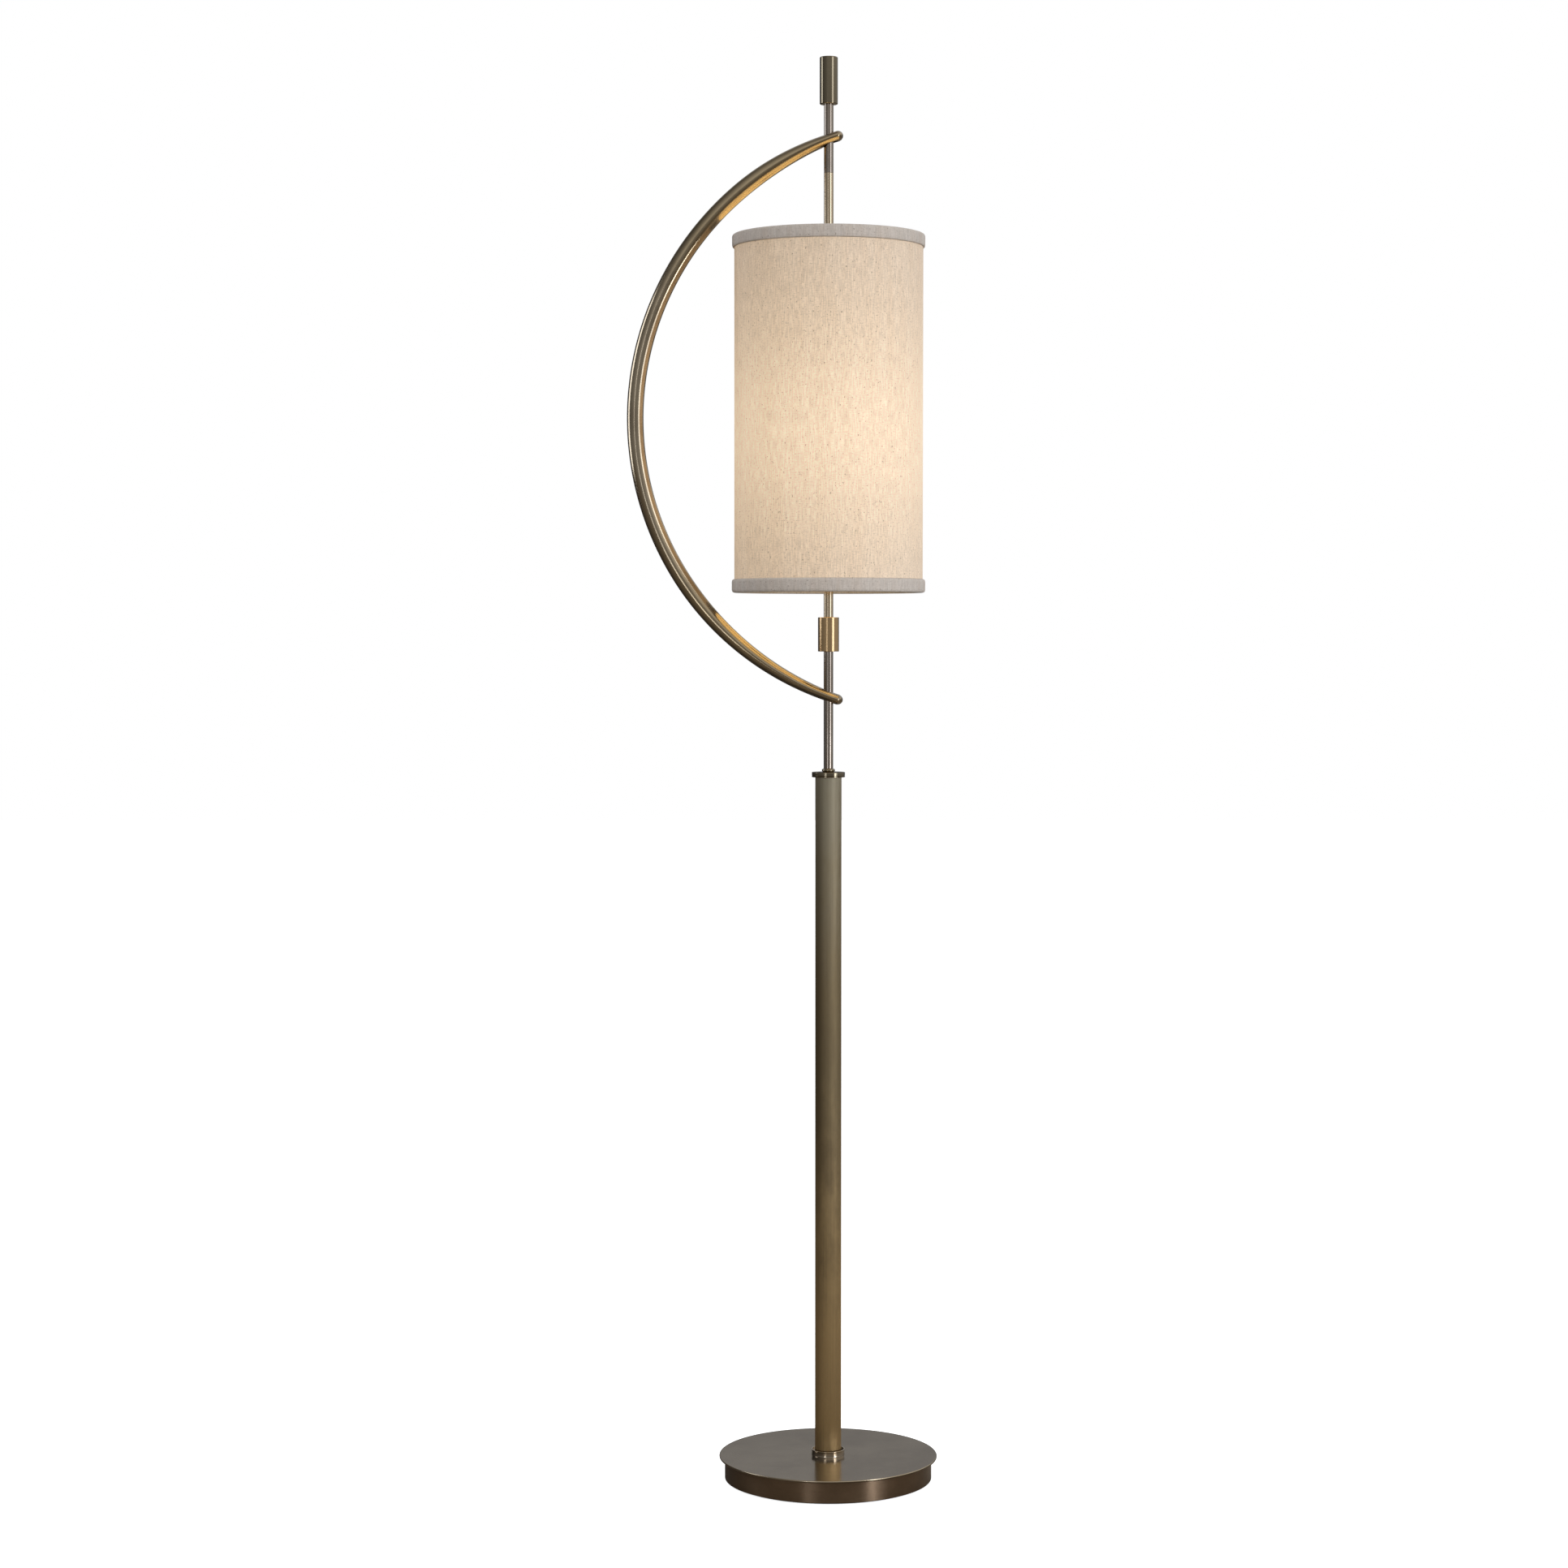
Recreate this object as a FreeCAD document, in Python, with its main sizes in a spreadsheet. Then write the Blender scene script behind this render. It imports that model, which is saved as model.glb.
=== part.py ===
import FreeCAD, Part
import Sketcher
import math
import os
import re

# Arc floor lamp. Millimetres, +Z up, origin on the floor on the axis of the column.
# The bow bends towards -X. Every piece is stacked on that axis or hangs from it.

doc = FreeCAD.newDocument("arc_floor_lamp")
Vector = FreeCAD.Vector

SIZES = {
    # round base
    "pad_thickness": 1.5,
    "pad_inset": 4.5,              # felt edge to skirt
    "skirt_diameter": 245.0,
    "skirt_height": 25.0,
    "skirt_wall": 1.5,
    "plate_thickness": 2.5,
    "plate_overhang": 6.5,
    "plate_round": 1.0,
    "weight_gap": 0.5,             # cast weight to skirt wall
    "recess_diameter": 62.0,
    "channel_gap": 0.4,            # inlet flange to the channel in the weight
    "inlet_height": 8.0,           # inlet axis above the felt
    "inlet_bore": 8.0,
    "inlet_wall": 1.6,
    "inlet_flange": 2.0,
    "inlet_flange_thickness": 1.5,
    "inlet_wall_gap": 0.4,         # lets the flat flanges clear the curved wall
    # column
    "stud_diameter": 13.2,
    "stud_bore": 9.0,
    "stud_lift": 7.7,              # lower end of the stud above the felt
    "stud_tail": 3.0,              # thread showing under the nut
    "washer_diameter": 26.0,
    "washer_thickness": 1.5,
    "lock_washer_diameter": 20.0,
    "lock_washer_thickness": 1.8,
    "lock_washer_slit": 1.5,
    "nut_flats": 19.0,
    "nut_thickness": 5.0,
    "collar_margin": 4.25,         # column skin to the collar's rim
    "collar_height": 6.5,
    "collar_lip": 1.3,
    "collar_recess": 3.0,
    "column_diameter": 31.0,
    "column_wall": 1.2,
    "column_length": 804.2,
    "insert_height": 20.0,
    "cap_margin": 4.0,             # column skin to the cap's rim
    "cap_height": 6.0,
    "cap_chamfer": 0.5,
    # neck
    "bead_margin": 2.2,            # rod skin to the bead's rim
    "bead_height": 4.1,
    "pipe_diameter": 9.6,          # threaded lamp pipe that clamps the stack
    "pipe_bore": 6.6,
    "pipe_engagement": 16.0,
    "rod_wall": 0.7,
    "neck_rod_length": 137.7,
    "coupling_diameter": 24.7,
    "coupling_height": 40.2,
    "coupling_chamfer": 0.6,
    # bow
    "bow_stand_off": 116.8,        # linen to the bow's centreline at mid height
    "bow_low_rise": 85.0,          # lower crossing above the bead
    "bow_top_rise": 39.25,         # upper crossing above the seam
    "bow_diameter": 19.5,
    "bow_wall": 1.2,
    "bow_end_thickness": 12.2,
    "bow_end_width": 25.0,
    "bow_end_reach": 17.6,         # tip past the rod axis
    "bow_nose": 7.0,               # length of the rounded tip
    "top_taper": 20.0,             # degrees of bow over which the tube flattens
    "bottom_taper": 38.0,
    "slot_gap": 0.9,               # rod to the slot's sides
    "slot_run": 6.6,               # length of the slot's straight sides
    "slot_shift": 1.8,
    # shade
    "shade_gap": 30.3,             # rod showing between coupling and shade
    "shade_diameter": 220.0,
    "shade_height": 415.5,
    "linen_thickness": 0.8,
    "liner_thickness": 0.5,
    "trim_height": 14.0,
    "trim_thickness": 3.2,
    "ring_wire": 3.0,
    "spider_drop": 24.0,
    "spider_hub_diameter": 26.0,
    "spider_hub_thickness": 2.0,
    "spider_wire": 3.0,
    "spider_bend": 8.0,
    "fibre_washer_diameter": 18.0,
    "fibre_washer_thickness": 1.0,
    # lamp cluster
    "cluster_rise": 34.0,          # underside of the cluster above the shade's lower edge
    "cluster_diameter": 38.0,
    "cluster_height": 25.0,
    "cluster_wall": 2.0,
    "cover_thickness": 3.0,
    "bulb_gap": 6.4,               # rod skin to bulb
    "arm_diameter": 9.6,
    "arm_bore": 7.2,
    "arm_bend": 14.0,
    "arm_rise": 22.0,
    "cup_height": 14.0,
    "cup_neck": 14.0,
    "socket_height": 38.0,
    "socket_air": 1.95,            # screw shell to card sleeve
    "socket_wall": 0.6,
    "card_thickness": 0.7,
    "core_height": 19.0,
    "screw_gap": 0.2,
    "screw_wall": 0.5,
    "screw_height": 22.0,
    "bulb_base_diameter": 26.0,
    "bulb_base_height": 25.0,
    "bulb_base_wall": 0.4,
    "bulb_diameter": 60.0,
    "bulb_length": 84.0,           # glass alone
    "bulb_wall": 0.8,
    # switch knobs
    "knob_diameter": 9.0,
    "knob_length": 14.0,
    "knob_stem": 3.2,
    "knob_stand_off": 4.0,
    "knob_round": 1.2,
    # rods above the shade
    "shade_rod_length": 93.9,
    "finial_rod_length": 79.6,
    "finial_diameter": 21.2,
    "finial_height": 55.0,
    "finial_socket": 12.0,
    "finial_round": 1.2,
    # leads
    "lead_diameter": 2.2,
    "lead_spacing": 3.0,
    "lead_bend": 7.0,
    "lead_run": 15.0,
    "connector_diameter": 8.0,
    "connector_length": 16.0,
    "connector_grip": 3.0,         # lead held inside a connector
    "connector_lift": 1.0,         # connector above the felt
    "lead_splay": 35.0,            # degrees each tail turns from straight back
    "terminal_length": 12.0,
    "terminal_width": 9.0,
    "terminal_height": 10.0,
    # clearances, radial
    "slip_gap": 0.1,
    "thread_gap": 0.05,
    "turn_gap": 0.3,
}

sheet = doc.addObject("Spreadsheet::Sheet", "sizes")
for row, (alias, value) in enumerate(SIZES.items(), start=1):
    sheet.set(f"A{row}", alias)
    sheet.set(f"B{row}", str(value))
    sheet.setAlias(f"B{row}", alias)
doc.recompute()

# Radii that follow from what a piece fits, then heights on the axis, each counted from the
# piece below it.
LEVELS = {
    "skirt_radius": "skirt_diameter / 2",
    "inlet_flange_radius": "inlet_bore / 2 + inlet_wall + inlet_flange",
    "stud_radius": "stud_diameter / 2",
    "column_radius": "column_diameter / 2",
    "collar_radius": "column_radius + collar_margin",
    "pipe_radius": "pipe_diameter / 2",
    "rod_radius": "pipe_radius + slip_gap + rod_wall",
    "coupling_radius": "coupling_diameter / 2",
    "finial_radius": "finial_diameter / 2",
    "shade_radius": "shade_diameter / 2",
    "linen_radius": "shade_radius - linen_thickness",
    "ring_radius": "linen_radius - liner_thickness - ring_wire / 2",
    "cluster_radius": "cluster_diameter / 2",
    "arm_radius": "arm_diameter / 2",
    "arm_reach": "rod_radius + bulb_gap + bulb_diameter / 2",
    "bulb_base_radius": "bulb_base_diameter / 2",
    "screw_radius": "bulb_base_radius + screw_gap",
    "card_bore": "screw_radius + screw_wall + socket_air",
    "card_radius": "card_bore + card_thickness",
    "socket_radius": "card_radius + thread_gap + socket_wall",
    "slot_radius": "rod_radius + slot_gap",
    "plate_bottom": "pad_thickness + skirt_height",
    "plate_top": "plate_bottom + plate_thickness",
    "stud_bottom": "pad_thickness + stud_lift",
    "nut_bottom": "stud_bottom + stud_tail",
    "lock_washer_bottom": "nut_bottom + nut_thickness",
    "washer_bottom": "lock_washer_bottom + lock_washer_thickness",
    "web_bottom": "washer_bottom + washer_thickness",
    "column_top": "plate_top + column_length",
    "cap_top": "column_top + cap_height",
    "bead_top": "cap_top + bead_height",
    "coupling_bottom": "bead_top + neck_rod_length",
    "coupling_top": "coupling_bottom + coupling_height",
    "shade_bottom": "coupling_top + shade_gap",
    "shade_top": "shade_bottom + shade_height",
    "hub_bottom": "shade_top - spider_drop",
    "cluster_bottom": "shade_bottom + cluster_rise",
    "cover_bottom": "cluster_bottom + cluster_height",
    "cover_top": "cover_bottom + cover_thickness",
    "arm_level": "cluster_bottom + cluster_height / 2",
    "terminal_bottom": "arm_level - terminal_height / 2",
    "lead_low": "pad_thickness + connector_lift + connector_diameter / 2",
    "cup_bottom": "arm_level + arm_rise",
    "shell_bottom": "cup_bottom + cup_height",
    "core_top": "shell_bottom + core_height",
    "shell_top": "shell_bottom + socket_height",
    "bulb_bottom": "core_top + turn_gap",
    "glass_bottom": "bulb_bottom + bulb_base_height",
    "knob_level": "shell_bottom + core_height / 2",
    "washer_gap": "fibre_washer_thickness + turn_gap / 2",
    "shade_rod_bottom": "hub_bottom + spider_hub_thickness + washer_gap",
    "seam": "shade_rod_bottom + shade_rod_length",
    "finial_bottom": "seam + finial_rod_length",
    "bow_low": "bead_top + bow_low_rise",
    "bow_half": "(seam + bow_top_rise - bow_low) / 2",
    "bow_middle": "bow_low + bow_half",
    "bow_depth": "shade_radius + bow_stand_off",
    "bow_radius": "(bow_half ^ 2 + bow_depth ^ 2) / (2 * bow_depth)",
    "bow_offset": "bow_radius - bow_depth",
}
levels = doc.addObject("App::VarSet", "levels")


def bound(text):
    """The expression with each named size or level put on its owner."""
    def owner(match):
        word = match.group()
        if word in SIZES:
            return "sizes." + word
        return "levels." + word if word in LEVELS else word
    return re.sub(r"[a-z]\w*", owner, text)


for name, rule in LEVELS.items():
    levels.addProperty("App::PropertyFloat", name)
    levels.setExpression(name, bound(rule))
doc.recompute()


def worth(text):
    """The number that an expression comes to."""
    return float(sheet.evalExpression(bound(text)))


# --- Ways of making a piece ---

def new_body(name, x="0", y="0", z="0"):
    body = doc.addObject("PartDesign::Body", name)
    body.Label = name
    for axis, rule in zip("xyz", (x, y, z)):
        body.setExpression(f"Placement.Base.{axis}", bound(rule))
    return body


def new_sketch(body, name, plane, lift="0"):
    sketch = body.newObject("Sketcher::SketchObject", name)
    support = next(item for item in body.Origin.OriginFeatures if item.Role == plane)
    sketch.AttachmentSupport = [(support, "")]
    sketch.MapMode = "FlatFace"
    sketch.setExpression("AttachmentOffset.Base.z", bound(lift))
    return sketch


def bind(sketch, kind, *rest, rule):
    index = sketch.addConstraint(Sketcher.Constraint(kind, *rest, worth(rule)))
    sketch.setExpression(f"Constraints[{index}]", bound(rule))


def pin_point(sketch, edge, end, x, y):
    bind(sketch, "DistanceX", -1, 1, edge, end, rule=x)
    bind(sketch, "DistanceY", -1, 1, edge, end, rule=y)


def draw_outline(sketch, corners):
    """A closed line through corners, each a pair of expressions."""
    points = [Vector(worth(x), worth(y), 0) for x, y in corners]
    for index, point in enumerate(points):
        following = points[(index + 1) % len(points)]
        sketch.addGeometry(Part.LineSegment(point, following))
    for index in range(len(points)):
        after = (index + 1) % len(points)
        sketch.addConstraint(Sketcher.Constraint("Coincident", index, 2, after, 1))
    for index, (x, y) in enumerate(corners):
        pin_point(sketch, index, 1, x, y)


def draw_circle(sketch, radius, x="0", y="0"):
    centre = Vector(worth(x), worth(y), 0)
    circle = Part.Circle(centre, Vector(0, 0, 1), worth(radius))
    index = sketch.addGeometry(circle)
    bind(sketch, "Radius", index, rule=radius)
    pin_point(sketch, index, 3, x, y)


def draw_elbow(sketch, start, corner, bend, rise):
    """A run along X from start, a quarter bend before corner, then a run up to rise."""
    turn = f"({corner}) - ({bend})"
    first = Vector(worth(start), 0, 0)
    middle = Vector(worth(turn), worth(bend), 0)
    before = Vector(worth(turn), 0, 0)
    after = Vector(worth(corner), worth(bend), 0)
    last = Vector(worth(corner), worth(rise), 0)
    circle = Part.Circle(middle, Vector(0, 0, 1), worth(bend))
    sketch.addGeometry(Part.LineSegment(first, before))
    sketch.addGeometry(Part.ArcOfCircle(circle, -math.pi / 2, 0))
    sketch.addGeometry(Part.LineSegment(after, last))
    sketch.addConstraint(Sketcher.Constraint("Tangent", 0, 2, 1, 1))
    sketch.addConstraint(Sketcher.Constraint("Tangent", 1, 2, 2, 1))
    bind(sketch, "Radius", 1, rule=bend)
    pin_point(sketch, 0, 1, start, "0")
    pin_point(sketch, 1, 3, turn, bend)
    pin_point(sketch, 2, 2, corner, rise)


def turned(name, corners, x="0", y="0", z="0"):
    """A piece turned about its own Z axis from an outline of (radius, height) pairs."""
    body = new_body(name, x, y, z)
    sketch = new_sketch(body, name + "_outline", "XZ_Plane")
    draw_outline(sketch, corners)
    turn = body.newObject("PartDesign::Revolution", name + "_turn")
    turn.Profile = sketch
    turn.ReferenceAxis = (sketch, ["V_Axis"])
    turn.Angle = 360
    sketch.Visibility = False
    return body


def tube(name, radius, bore, height, x="0", z="0"):
    """A plain ring or tube between two radii."""
    corners = [(bore, "0"), (radius, "0"), (radius, height), (bore, height)]
    return turned(name, corners, x=x, z=z)


def ring_edges(body, rings):
    """Names of the body's round edges at the given (radius, height) pairs."""
    doc.recompute()
    found = []
    for index, edge in enumerate(body.Tip.Shape.Edges, start=1):
        if not isinstance(edge.Curve, Part.Circle):
            continue
        for radius, height in rings:
            same_radius = abs(edge.Curve.Radius - worth(radius)) < 1e-4
            if same_radius and abs(edge.Curve.Center.z - worth(height)) < 1e-4:
                found.append(f"Edge{index}")
    return found


def eased(body, kind, amount, rings):
    """Rounds or chamfers the named round edges; kind is Fillet or Chamfer."""
    edges = ring_edges(body, rings)
    if len(edges) < len(rings):
        raise ValueError(f"{body.Label}: an edge to ease is missing")
    solid = body.Tip
    feature = body.newObject("PartDesign::" + kind, f"{body.Label}_{kind.lower()}")
    feature.Base = (solid, edges)
    amount_name = "Radius" if kind == "Fillet" else "Size"
    feature.setExpression(amount_name, bound(amount))
    body.Tip = feature


def cut_round(body, plane, radius, depth, x="0", y="0", lift="0", reverse=False):
    """Pockets a round hole from a plane of the body's own origin."""
    doc.recompute()
    before = body.Tip.Shape.Volume
    label = f"{body.Label}_hole{len(body.Group)}"
    sketch = new_sketch(body, label + "_outline", plane, lift)
    draw_circle(sketch, radius, x, y)
    pocket = body.newObject("PartDesign::Pocket", label)
    pocket.Profile = sketch
    pocket.setExpression("Length", bound(depth))
    pocket.Reversed = reverse
    doc.recompute()
    if pocket.Shape.Volume > before - 1e-3:
        raise ValueError(f"{label} cuts nothing")


def pipe_along(body, path, plane, lift, radii):
    """Sweeps a round section, with a bore if two radii are given, along a path."""
    section = new_sketch(body, f"{body.Label}_section", plane, lift)
    for radius in radii:
        draw_circle(section, radius)
    sweep = body.newObject("PartDesign::AdditivePipe", f"{body.Label}_sweep")
    sweep.Profile = section
    sweep.Spine = path
    return sweep


def turn_about_z(body, degrees):
    body.Placement = FreeCAD.Placement(body.Placement.Base,
                                       FreeCAD.Rotation(Vector(0, 0, 1), degrees))


def grouped(name, pieces):
    """One node of several separate solids."""
    group = doc.addObject("Part::Compound", name)
    group.Label = name
    group.Links = pieces
    return group


def cut_from(name, base, tools):
    """A piece that is a base solid less its tools."""
    tool = tools[0]
    if len(tools) > 1:
        tool = doc.addObject("Part::MultiFuse", name + "_tools")
        tool.Shapes = tools
    result = doc.addObject("Part::Cut", name)
    result.Label = name
    result.Base = base
    result.Tool = tool
    return result


def primitive(kind, name, place=("0", "0", "0"), **sizes):
    solid = doc.addObject("Part::" + kind, name)
    for key, rule in sizes.items():
        solid.setExpression(key, bound(rule))
    for axis, rule in zip("xyz", place):
        solid.setExpression(f"Placement.Base.{axis}", bound(rule))
    return solid


# --- Base ---

def make_floor_pad():
    radius = "skirt_radius - pad_inset"
    height = "pad_thickness"
    return [turned("floor_pad", [("0", "0"), (radius, "0"), (radius, height), ("0", height)])]


def make_base_weight():
    radius = "skirt_radius - skirt_wall - weight_gap"
    half_channel = "(inlet_flange_radius + channel_gap)"
    iron = primitive("Cylinder", "weight_disc", ("0", "0", "pad_thickness"),
                     Radius=radius, Height="skirt_height")
    recess = primitive("Cylinder", "weight_recess", ("0", "0", "pad_thickness"),
                       Radius="recess_diameter / 2", Height="web_bottom - pad_thickness")
    channel = primitive("Box", "weight_channel", (f"-{half_channel}", "0", "pad_thickness"),
                        Length=f"2 * {half_channel}", Width=radius,
                        Height=f"inlet_height + {half_channel}")
    bore = primitive("Cylinder", "weight_bore", ("0", "0", "pad_thickness"),
                     Radius="stud_radius + slip_gap", Height="skirt_height")
    return [cut_from("base_weight", iron, [recess, channel, bore])]


def make_base_skirt():
    skirt = tube("base_skirt", "skirt_radius", "skirt_radius - skirt_wall", "skirt_height",
                 z="pad_thickness")
    cut_round(skirt, "XZ_Plane", "inlet_bore / 2 + inlet_wall + slip_gap", "skirt_radius",
              y="inlet_height")
    return [skirt]


def make_cord_bushing():
    """Snap-in bushing in the back of the skirt, a flange on each side of the wall."""
    bore = "inlet_bore / 2"
    barrel = f"{bore} + inlet_wall"
    flange = "inlet_flange_radius"
    lip = "inlet_flange_thickness"
    wall = f"{lip} + skirt_wall + inlet_wall_gap"
    inner_face = f"skirt_radius - ({wall})"
    corners = [(bore, "0"), (flange, "0"), (flange, lip), (barrel, lip), (barrel, wall),
               (flange, wall), (flange, f"{wall} + {lip}"), (bore, f"{wall} + {lip}")]
    bushing = turned("cord_bushing", corners, y=inner_face, z="pad_thickness + inlet_height")
    bushing.Placement = FreeCAD.Placement(bushing.Placement.Base,
                                          FreeCAD.Rotation(Vector(1, 0, 0), -90))
    return [bushing]


def make_base_plate():
    radius = "skirt_radius + plate_overhang"
    plate = tube("base_plate", radius, "stud_radius + slip_gap", "plate_thickness",
                 z="plate_bottom")
    eased(plate, "Fillet", "plate_round", [(radius, "0"), (radius, "plate_thickness")])
    return [plate]


def make_base_fixings():
    bore = "stud_radius + slip_gap"
    washer = tube("base_washer", "washer_diameter / 2", bore, "washer_thickness",
                  z="washer_bottom")
    spring = tube("spring_ring", "lock_washer_diameter / 2", bore, "lock_washer_thickness",
                  z="lock_washer_bottom")
    slit = primitive("Box", "spring_slit", ("0", "-lock_washer_slit / 2", "lock_washer_bottom"),
                     Length="lock_washer_diameter", Width="lock_washer_slit",
                     Height="lock_washer_thickness")
    lock_washer = cut_from("base_lock_washer", spring, [slit])
    hexagon = primitive("Prism", "nut_hexagon", ("0", "0", "nut_bottom"),
                        Circumradius="nut_flats / sqrt(3)", Height="nut_thickness")
    hexagon.Polygon = 6
    thread = primitive("Cylinder", "nut_thread", ("0", "0", "nut_bottom"),
                       Radius="stud_radius + thread_gap", Height="nut_thickness")
    nut = cut_from("base_nut", hexagon, [thread])
    stud = tube("base_stud", "stud_radius", "stud_bore / 2",
                "plate_top + pipe_engagement - stud_bottom", z="stud_bottom")
    return [washer, lock_washer, nut, stud]


# --- Column ---

def make_column():
    bore = "column_radius - column_wall"
    column = tube("column_tube", "column_radius", bore, "column_length", z="plate_top")
    foot = tube("column_foot", f"{bore} - thread_gap", "stud_radius + thread_gap",
                "insert_height", z="plate_top")
    head = tube("column_head", f"{bore} - thread_gap", "pipe_radius + thread_gap",
                "insert_height", z="column_top - insert_height")
    return [column, foot, head]


def make_base_collar():
    """Shallow cup round the foot of the column, with a thin upright lip."""
    outer = "collar_radius"
    inner = "column_radius + slip_gap"
    lip = f"{outer} - collar_lip"
    floor = "collar_height - collar_recess"
    corners = [(inner, "0"), (outer, "0"), (outer, "collar_height"), (lip, "collar_height"),
               (lip, floor), (inner, floor)]
    collar = turned("base_collar", corners, z="plate_top")
    eased(collar, "Chamfer", "collar_lip / 4", [(outer, "collar_height")])
    return [collar]


def make_column_cap():
    radius = "column_radius + cap_margin"
    cap = tube("column_cap", radius, "pipe_radius + slip_gap", "cap_height",
               z="column_top")
    eased(cap, "Chamfer", "cap_chamfer", [(radius, "0"), (radius, "cap_height")])
    return [cap]


# --- Neck ---

def make_neck_bead():
    radius = "rod_radius + bead_margin"
    bead = tube("neck_bead", radius, "pipe_radius + slip_gap", "bead_height", z="cap_top")
    eased(bead, "Fillet", "bead_height * 0.45", [(radius, "0"), (radius, "bead_height")])
    return [bead]


def sleeve(name, bottom, top):
    """A length of the slim rod: a thin sleeve over the threaded pipe."""
    return tube(name, "rod_radius", "pipe_radius + slip_gap", f"({top}) - ({bottom})", z=bottom)


def lamp_pipe(name, bottom, top):
    """A length of threaded pipe, hollow for the leads."""
    return tube(name, "pipe_radius", "pipe_bore / 2", f"({top}) - ({bottom})", z=bottom)


def make_neck():
    rod = sleeve("neck_rod", "bead_top", "coupling_bottom")
    pipe = lamp_pipe("neck_pipe", "column_top - pipe_engagement",
                     "coupling_bottom + pipe_engagement")
    coupling = tube("rod_coupling", "coupling_radius", "pipe_radius + thread_gap",
                    "coupling_height", z="coupling_bottom")
    eased(coupling, "Chamfer", "coupling_chamfer",
          [("coupling_radius", "0"), ("coupling_radius", "coupling_height")])
    return [rod, pipe, coupling]


# --- Bow ---

def bow_ease(angle, end_angle):
    """How far the tube has opened from its flat end, 0 to 1, at an angle from the middle."""
    taper = worth("top_taper") if angle > 0 else worth("bottom_taper")
    share = (end_angle - abs(angle)) / taper
    return math.sin(math.pi / 2 * min(max(share, 0.0), 1.0))


def bow_frame(angle, half_thickness, half_width, length):
    """Matrix from a unit circle or sphere to the section at an angle, its Z up the bow."""
    reach = worth("bow_radius")
    lean = math.radians(angle)
    across = Vector(-math.cos(lean), 0, math.sin(lean))
    along = Vector(math.sin(lean), 0, math.cos(lean))
    centre = across * reach
    return FreeCAD.Matrix(
        across.x * half_thickness, 0, along.x * length, centre.x,
        0, half_width, 0, 0,
        across.z * half_thickness, 0, along.z * length, centre.z,
        0, 0, 0, 1)


def bow_solid(inset):
    """The bent tube as a solid, drawn in from its outer skin by inset."""
    crossing = math.degrees(math.asin(worth("bow_half / bow_radius")))
    straight = worth("bow_end_reach - bow_nose") / worth("bow_radius")
    end = crossing + math.degrees(straight)
    full = worth("bow_diameter")
    steps = 44
    wires = []
    sizes = []
    for step in range(steps + 1):
        angle = end * (2 * step / steps - 1)
        open_share = bow_ease(angle, crossing)
        thickness = worth("bow_end_thickness") * (1 - open_share) + full * open_share
        width = worth("bow_end_width") * (1 - open_share) + full * open_share
        sizes.append((angle, thickness / 2 - inset, width / 2 - inset))
        circle = Part.Wire([Part.Circle().toShape()])
        wires.append(circle.transformGeometry(bow_frame(*sizes[-1], 1.0)))
    solid = Part.makeLoft(wires, True, False)
    nose = worth("bow_nose") - inset
    for (angle, half_thickness, half_width), side in ((sizes[0], -1), (sizes[-1], 1)):
        low = 0 if side > 0 else -90
        dome = Part.makeSphere(1.0, Vector(), Vector(0, 0, 1), low, low + 90)
        matrix = bow_frame(angle, half_thickness, half_width, nose)
        solid = solid.fuse(dome.transformGeometry(matrix))
    return solid


def make_bow():
    """Bent tube, flattened at both ends: brazed to the neck rod, slotted round the top rod."""
    tube_shape = bow_solid(0).cut(bow_solid(worth("bow_wall")))
    offset = worth("bow_offset")
    tall = worth("bow_end_width")
    low = Vector(-offset, 0, -worth("bow_half") - tall)
    hole = Part.makeCylinder(worth("rod_radius + slip_gap"), 2 * tall, low)
    half = worth("slot_run / 2")
    radius = worth("slot_radius")
    middle = Vector(worth("slot_shift") - offset, 0, worth("bow_half") - tall)
    slot = Part.makeBox(2 * half, 2 * radius, 2 * tall, middle - Vector(half, radius, 0))
    for side in (-1, 1):
        slot = slot.fuse(Part.makeCylinder(radius, 2 * tall, middle + Vector(side * half, 0, 0)))
    bow = doc.addObject("Part::Feature", "bow_tube")
    bow.Label = "bow_tube"
    bow.Shape = tube_shape.cut(hole).cut(slot)
    bow.Placement = FreeCAD.Placement(Vector(offset, 0, worth("bow_middle")), FreeCAD.Rotation())
    return [bow]


# --- Rods on the axis, from the coupling to the finial ---

def make_axis_rods():
    lower_pipe = lamp_pipe("lower_pipe", "coupling_top - pipe_engagement",
                           "cluster_bottom + cluster_wall + 4")
    upper_pipe = lamp_pipe("upper_pipe", "cover_bottom - 4", "seam + pipe_engagement")
    lower_rod = sleeve("lower_rod", "coupling_top", "cluster_bottom")
    middle_rod = sleeve("middle_rod", "cover_top", "hub_bottom - washer_gap")
    shade_rod = sleeve("shade_rod", "shade_rod_bottom", "seam")
    return [lower_pipe, upper_pipe, lower_rod, middle_rod, shade_rod]


def make_finial():
    """Top rod closed at its upper end, with the finial slipped over it."""
    outer = "rod_radius"
    bore = "pipe_radius + thread_gap"
    thread = "pipe_engagement + 2"
    rod_top = "finial_rod_length + finial_socket"
    rod = turned("finial_rod", [(bore, "0"), (outer, "0"), (outer, rod_top), ("0", rod_top),
                                ("0", thread), (bore, thread)], z="seam")
    socket = "rod_radius + thread_gap"
    finial = turned("finial", [(socket, "0"), ("finial_radius", "0"),
                               ("finial_radius", "finial_height"), ("0", "finial_height"),
                               ("0", "finial_socket"), (socket, "finial_socket")],
                    z="finial_bottom")
    eased(finial, "Fillet", "finial_round",
          [("finial_radius", "0"), ("finial_radius", "finial_height")])
    return [rod, finial]


# --- Shade ---

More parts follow.
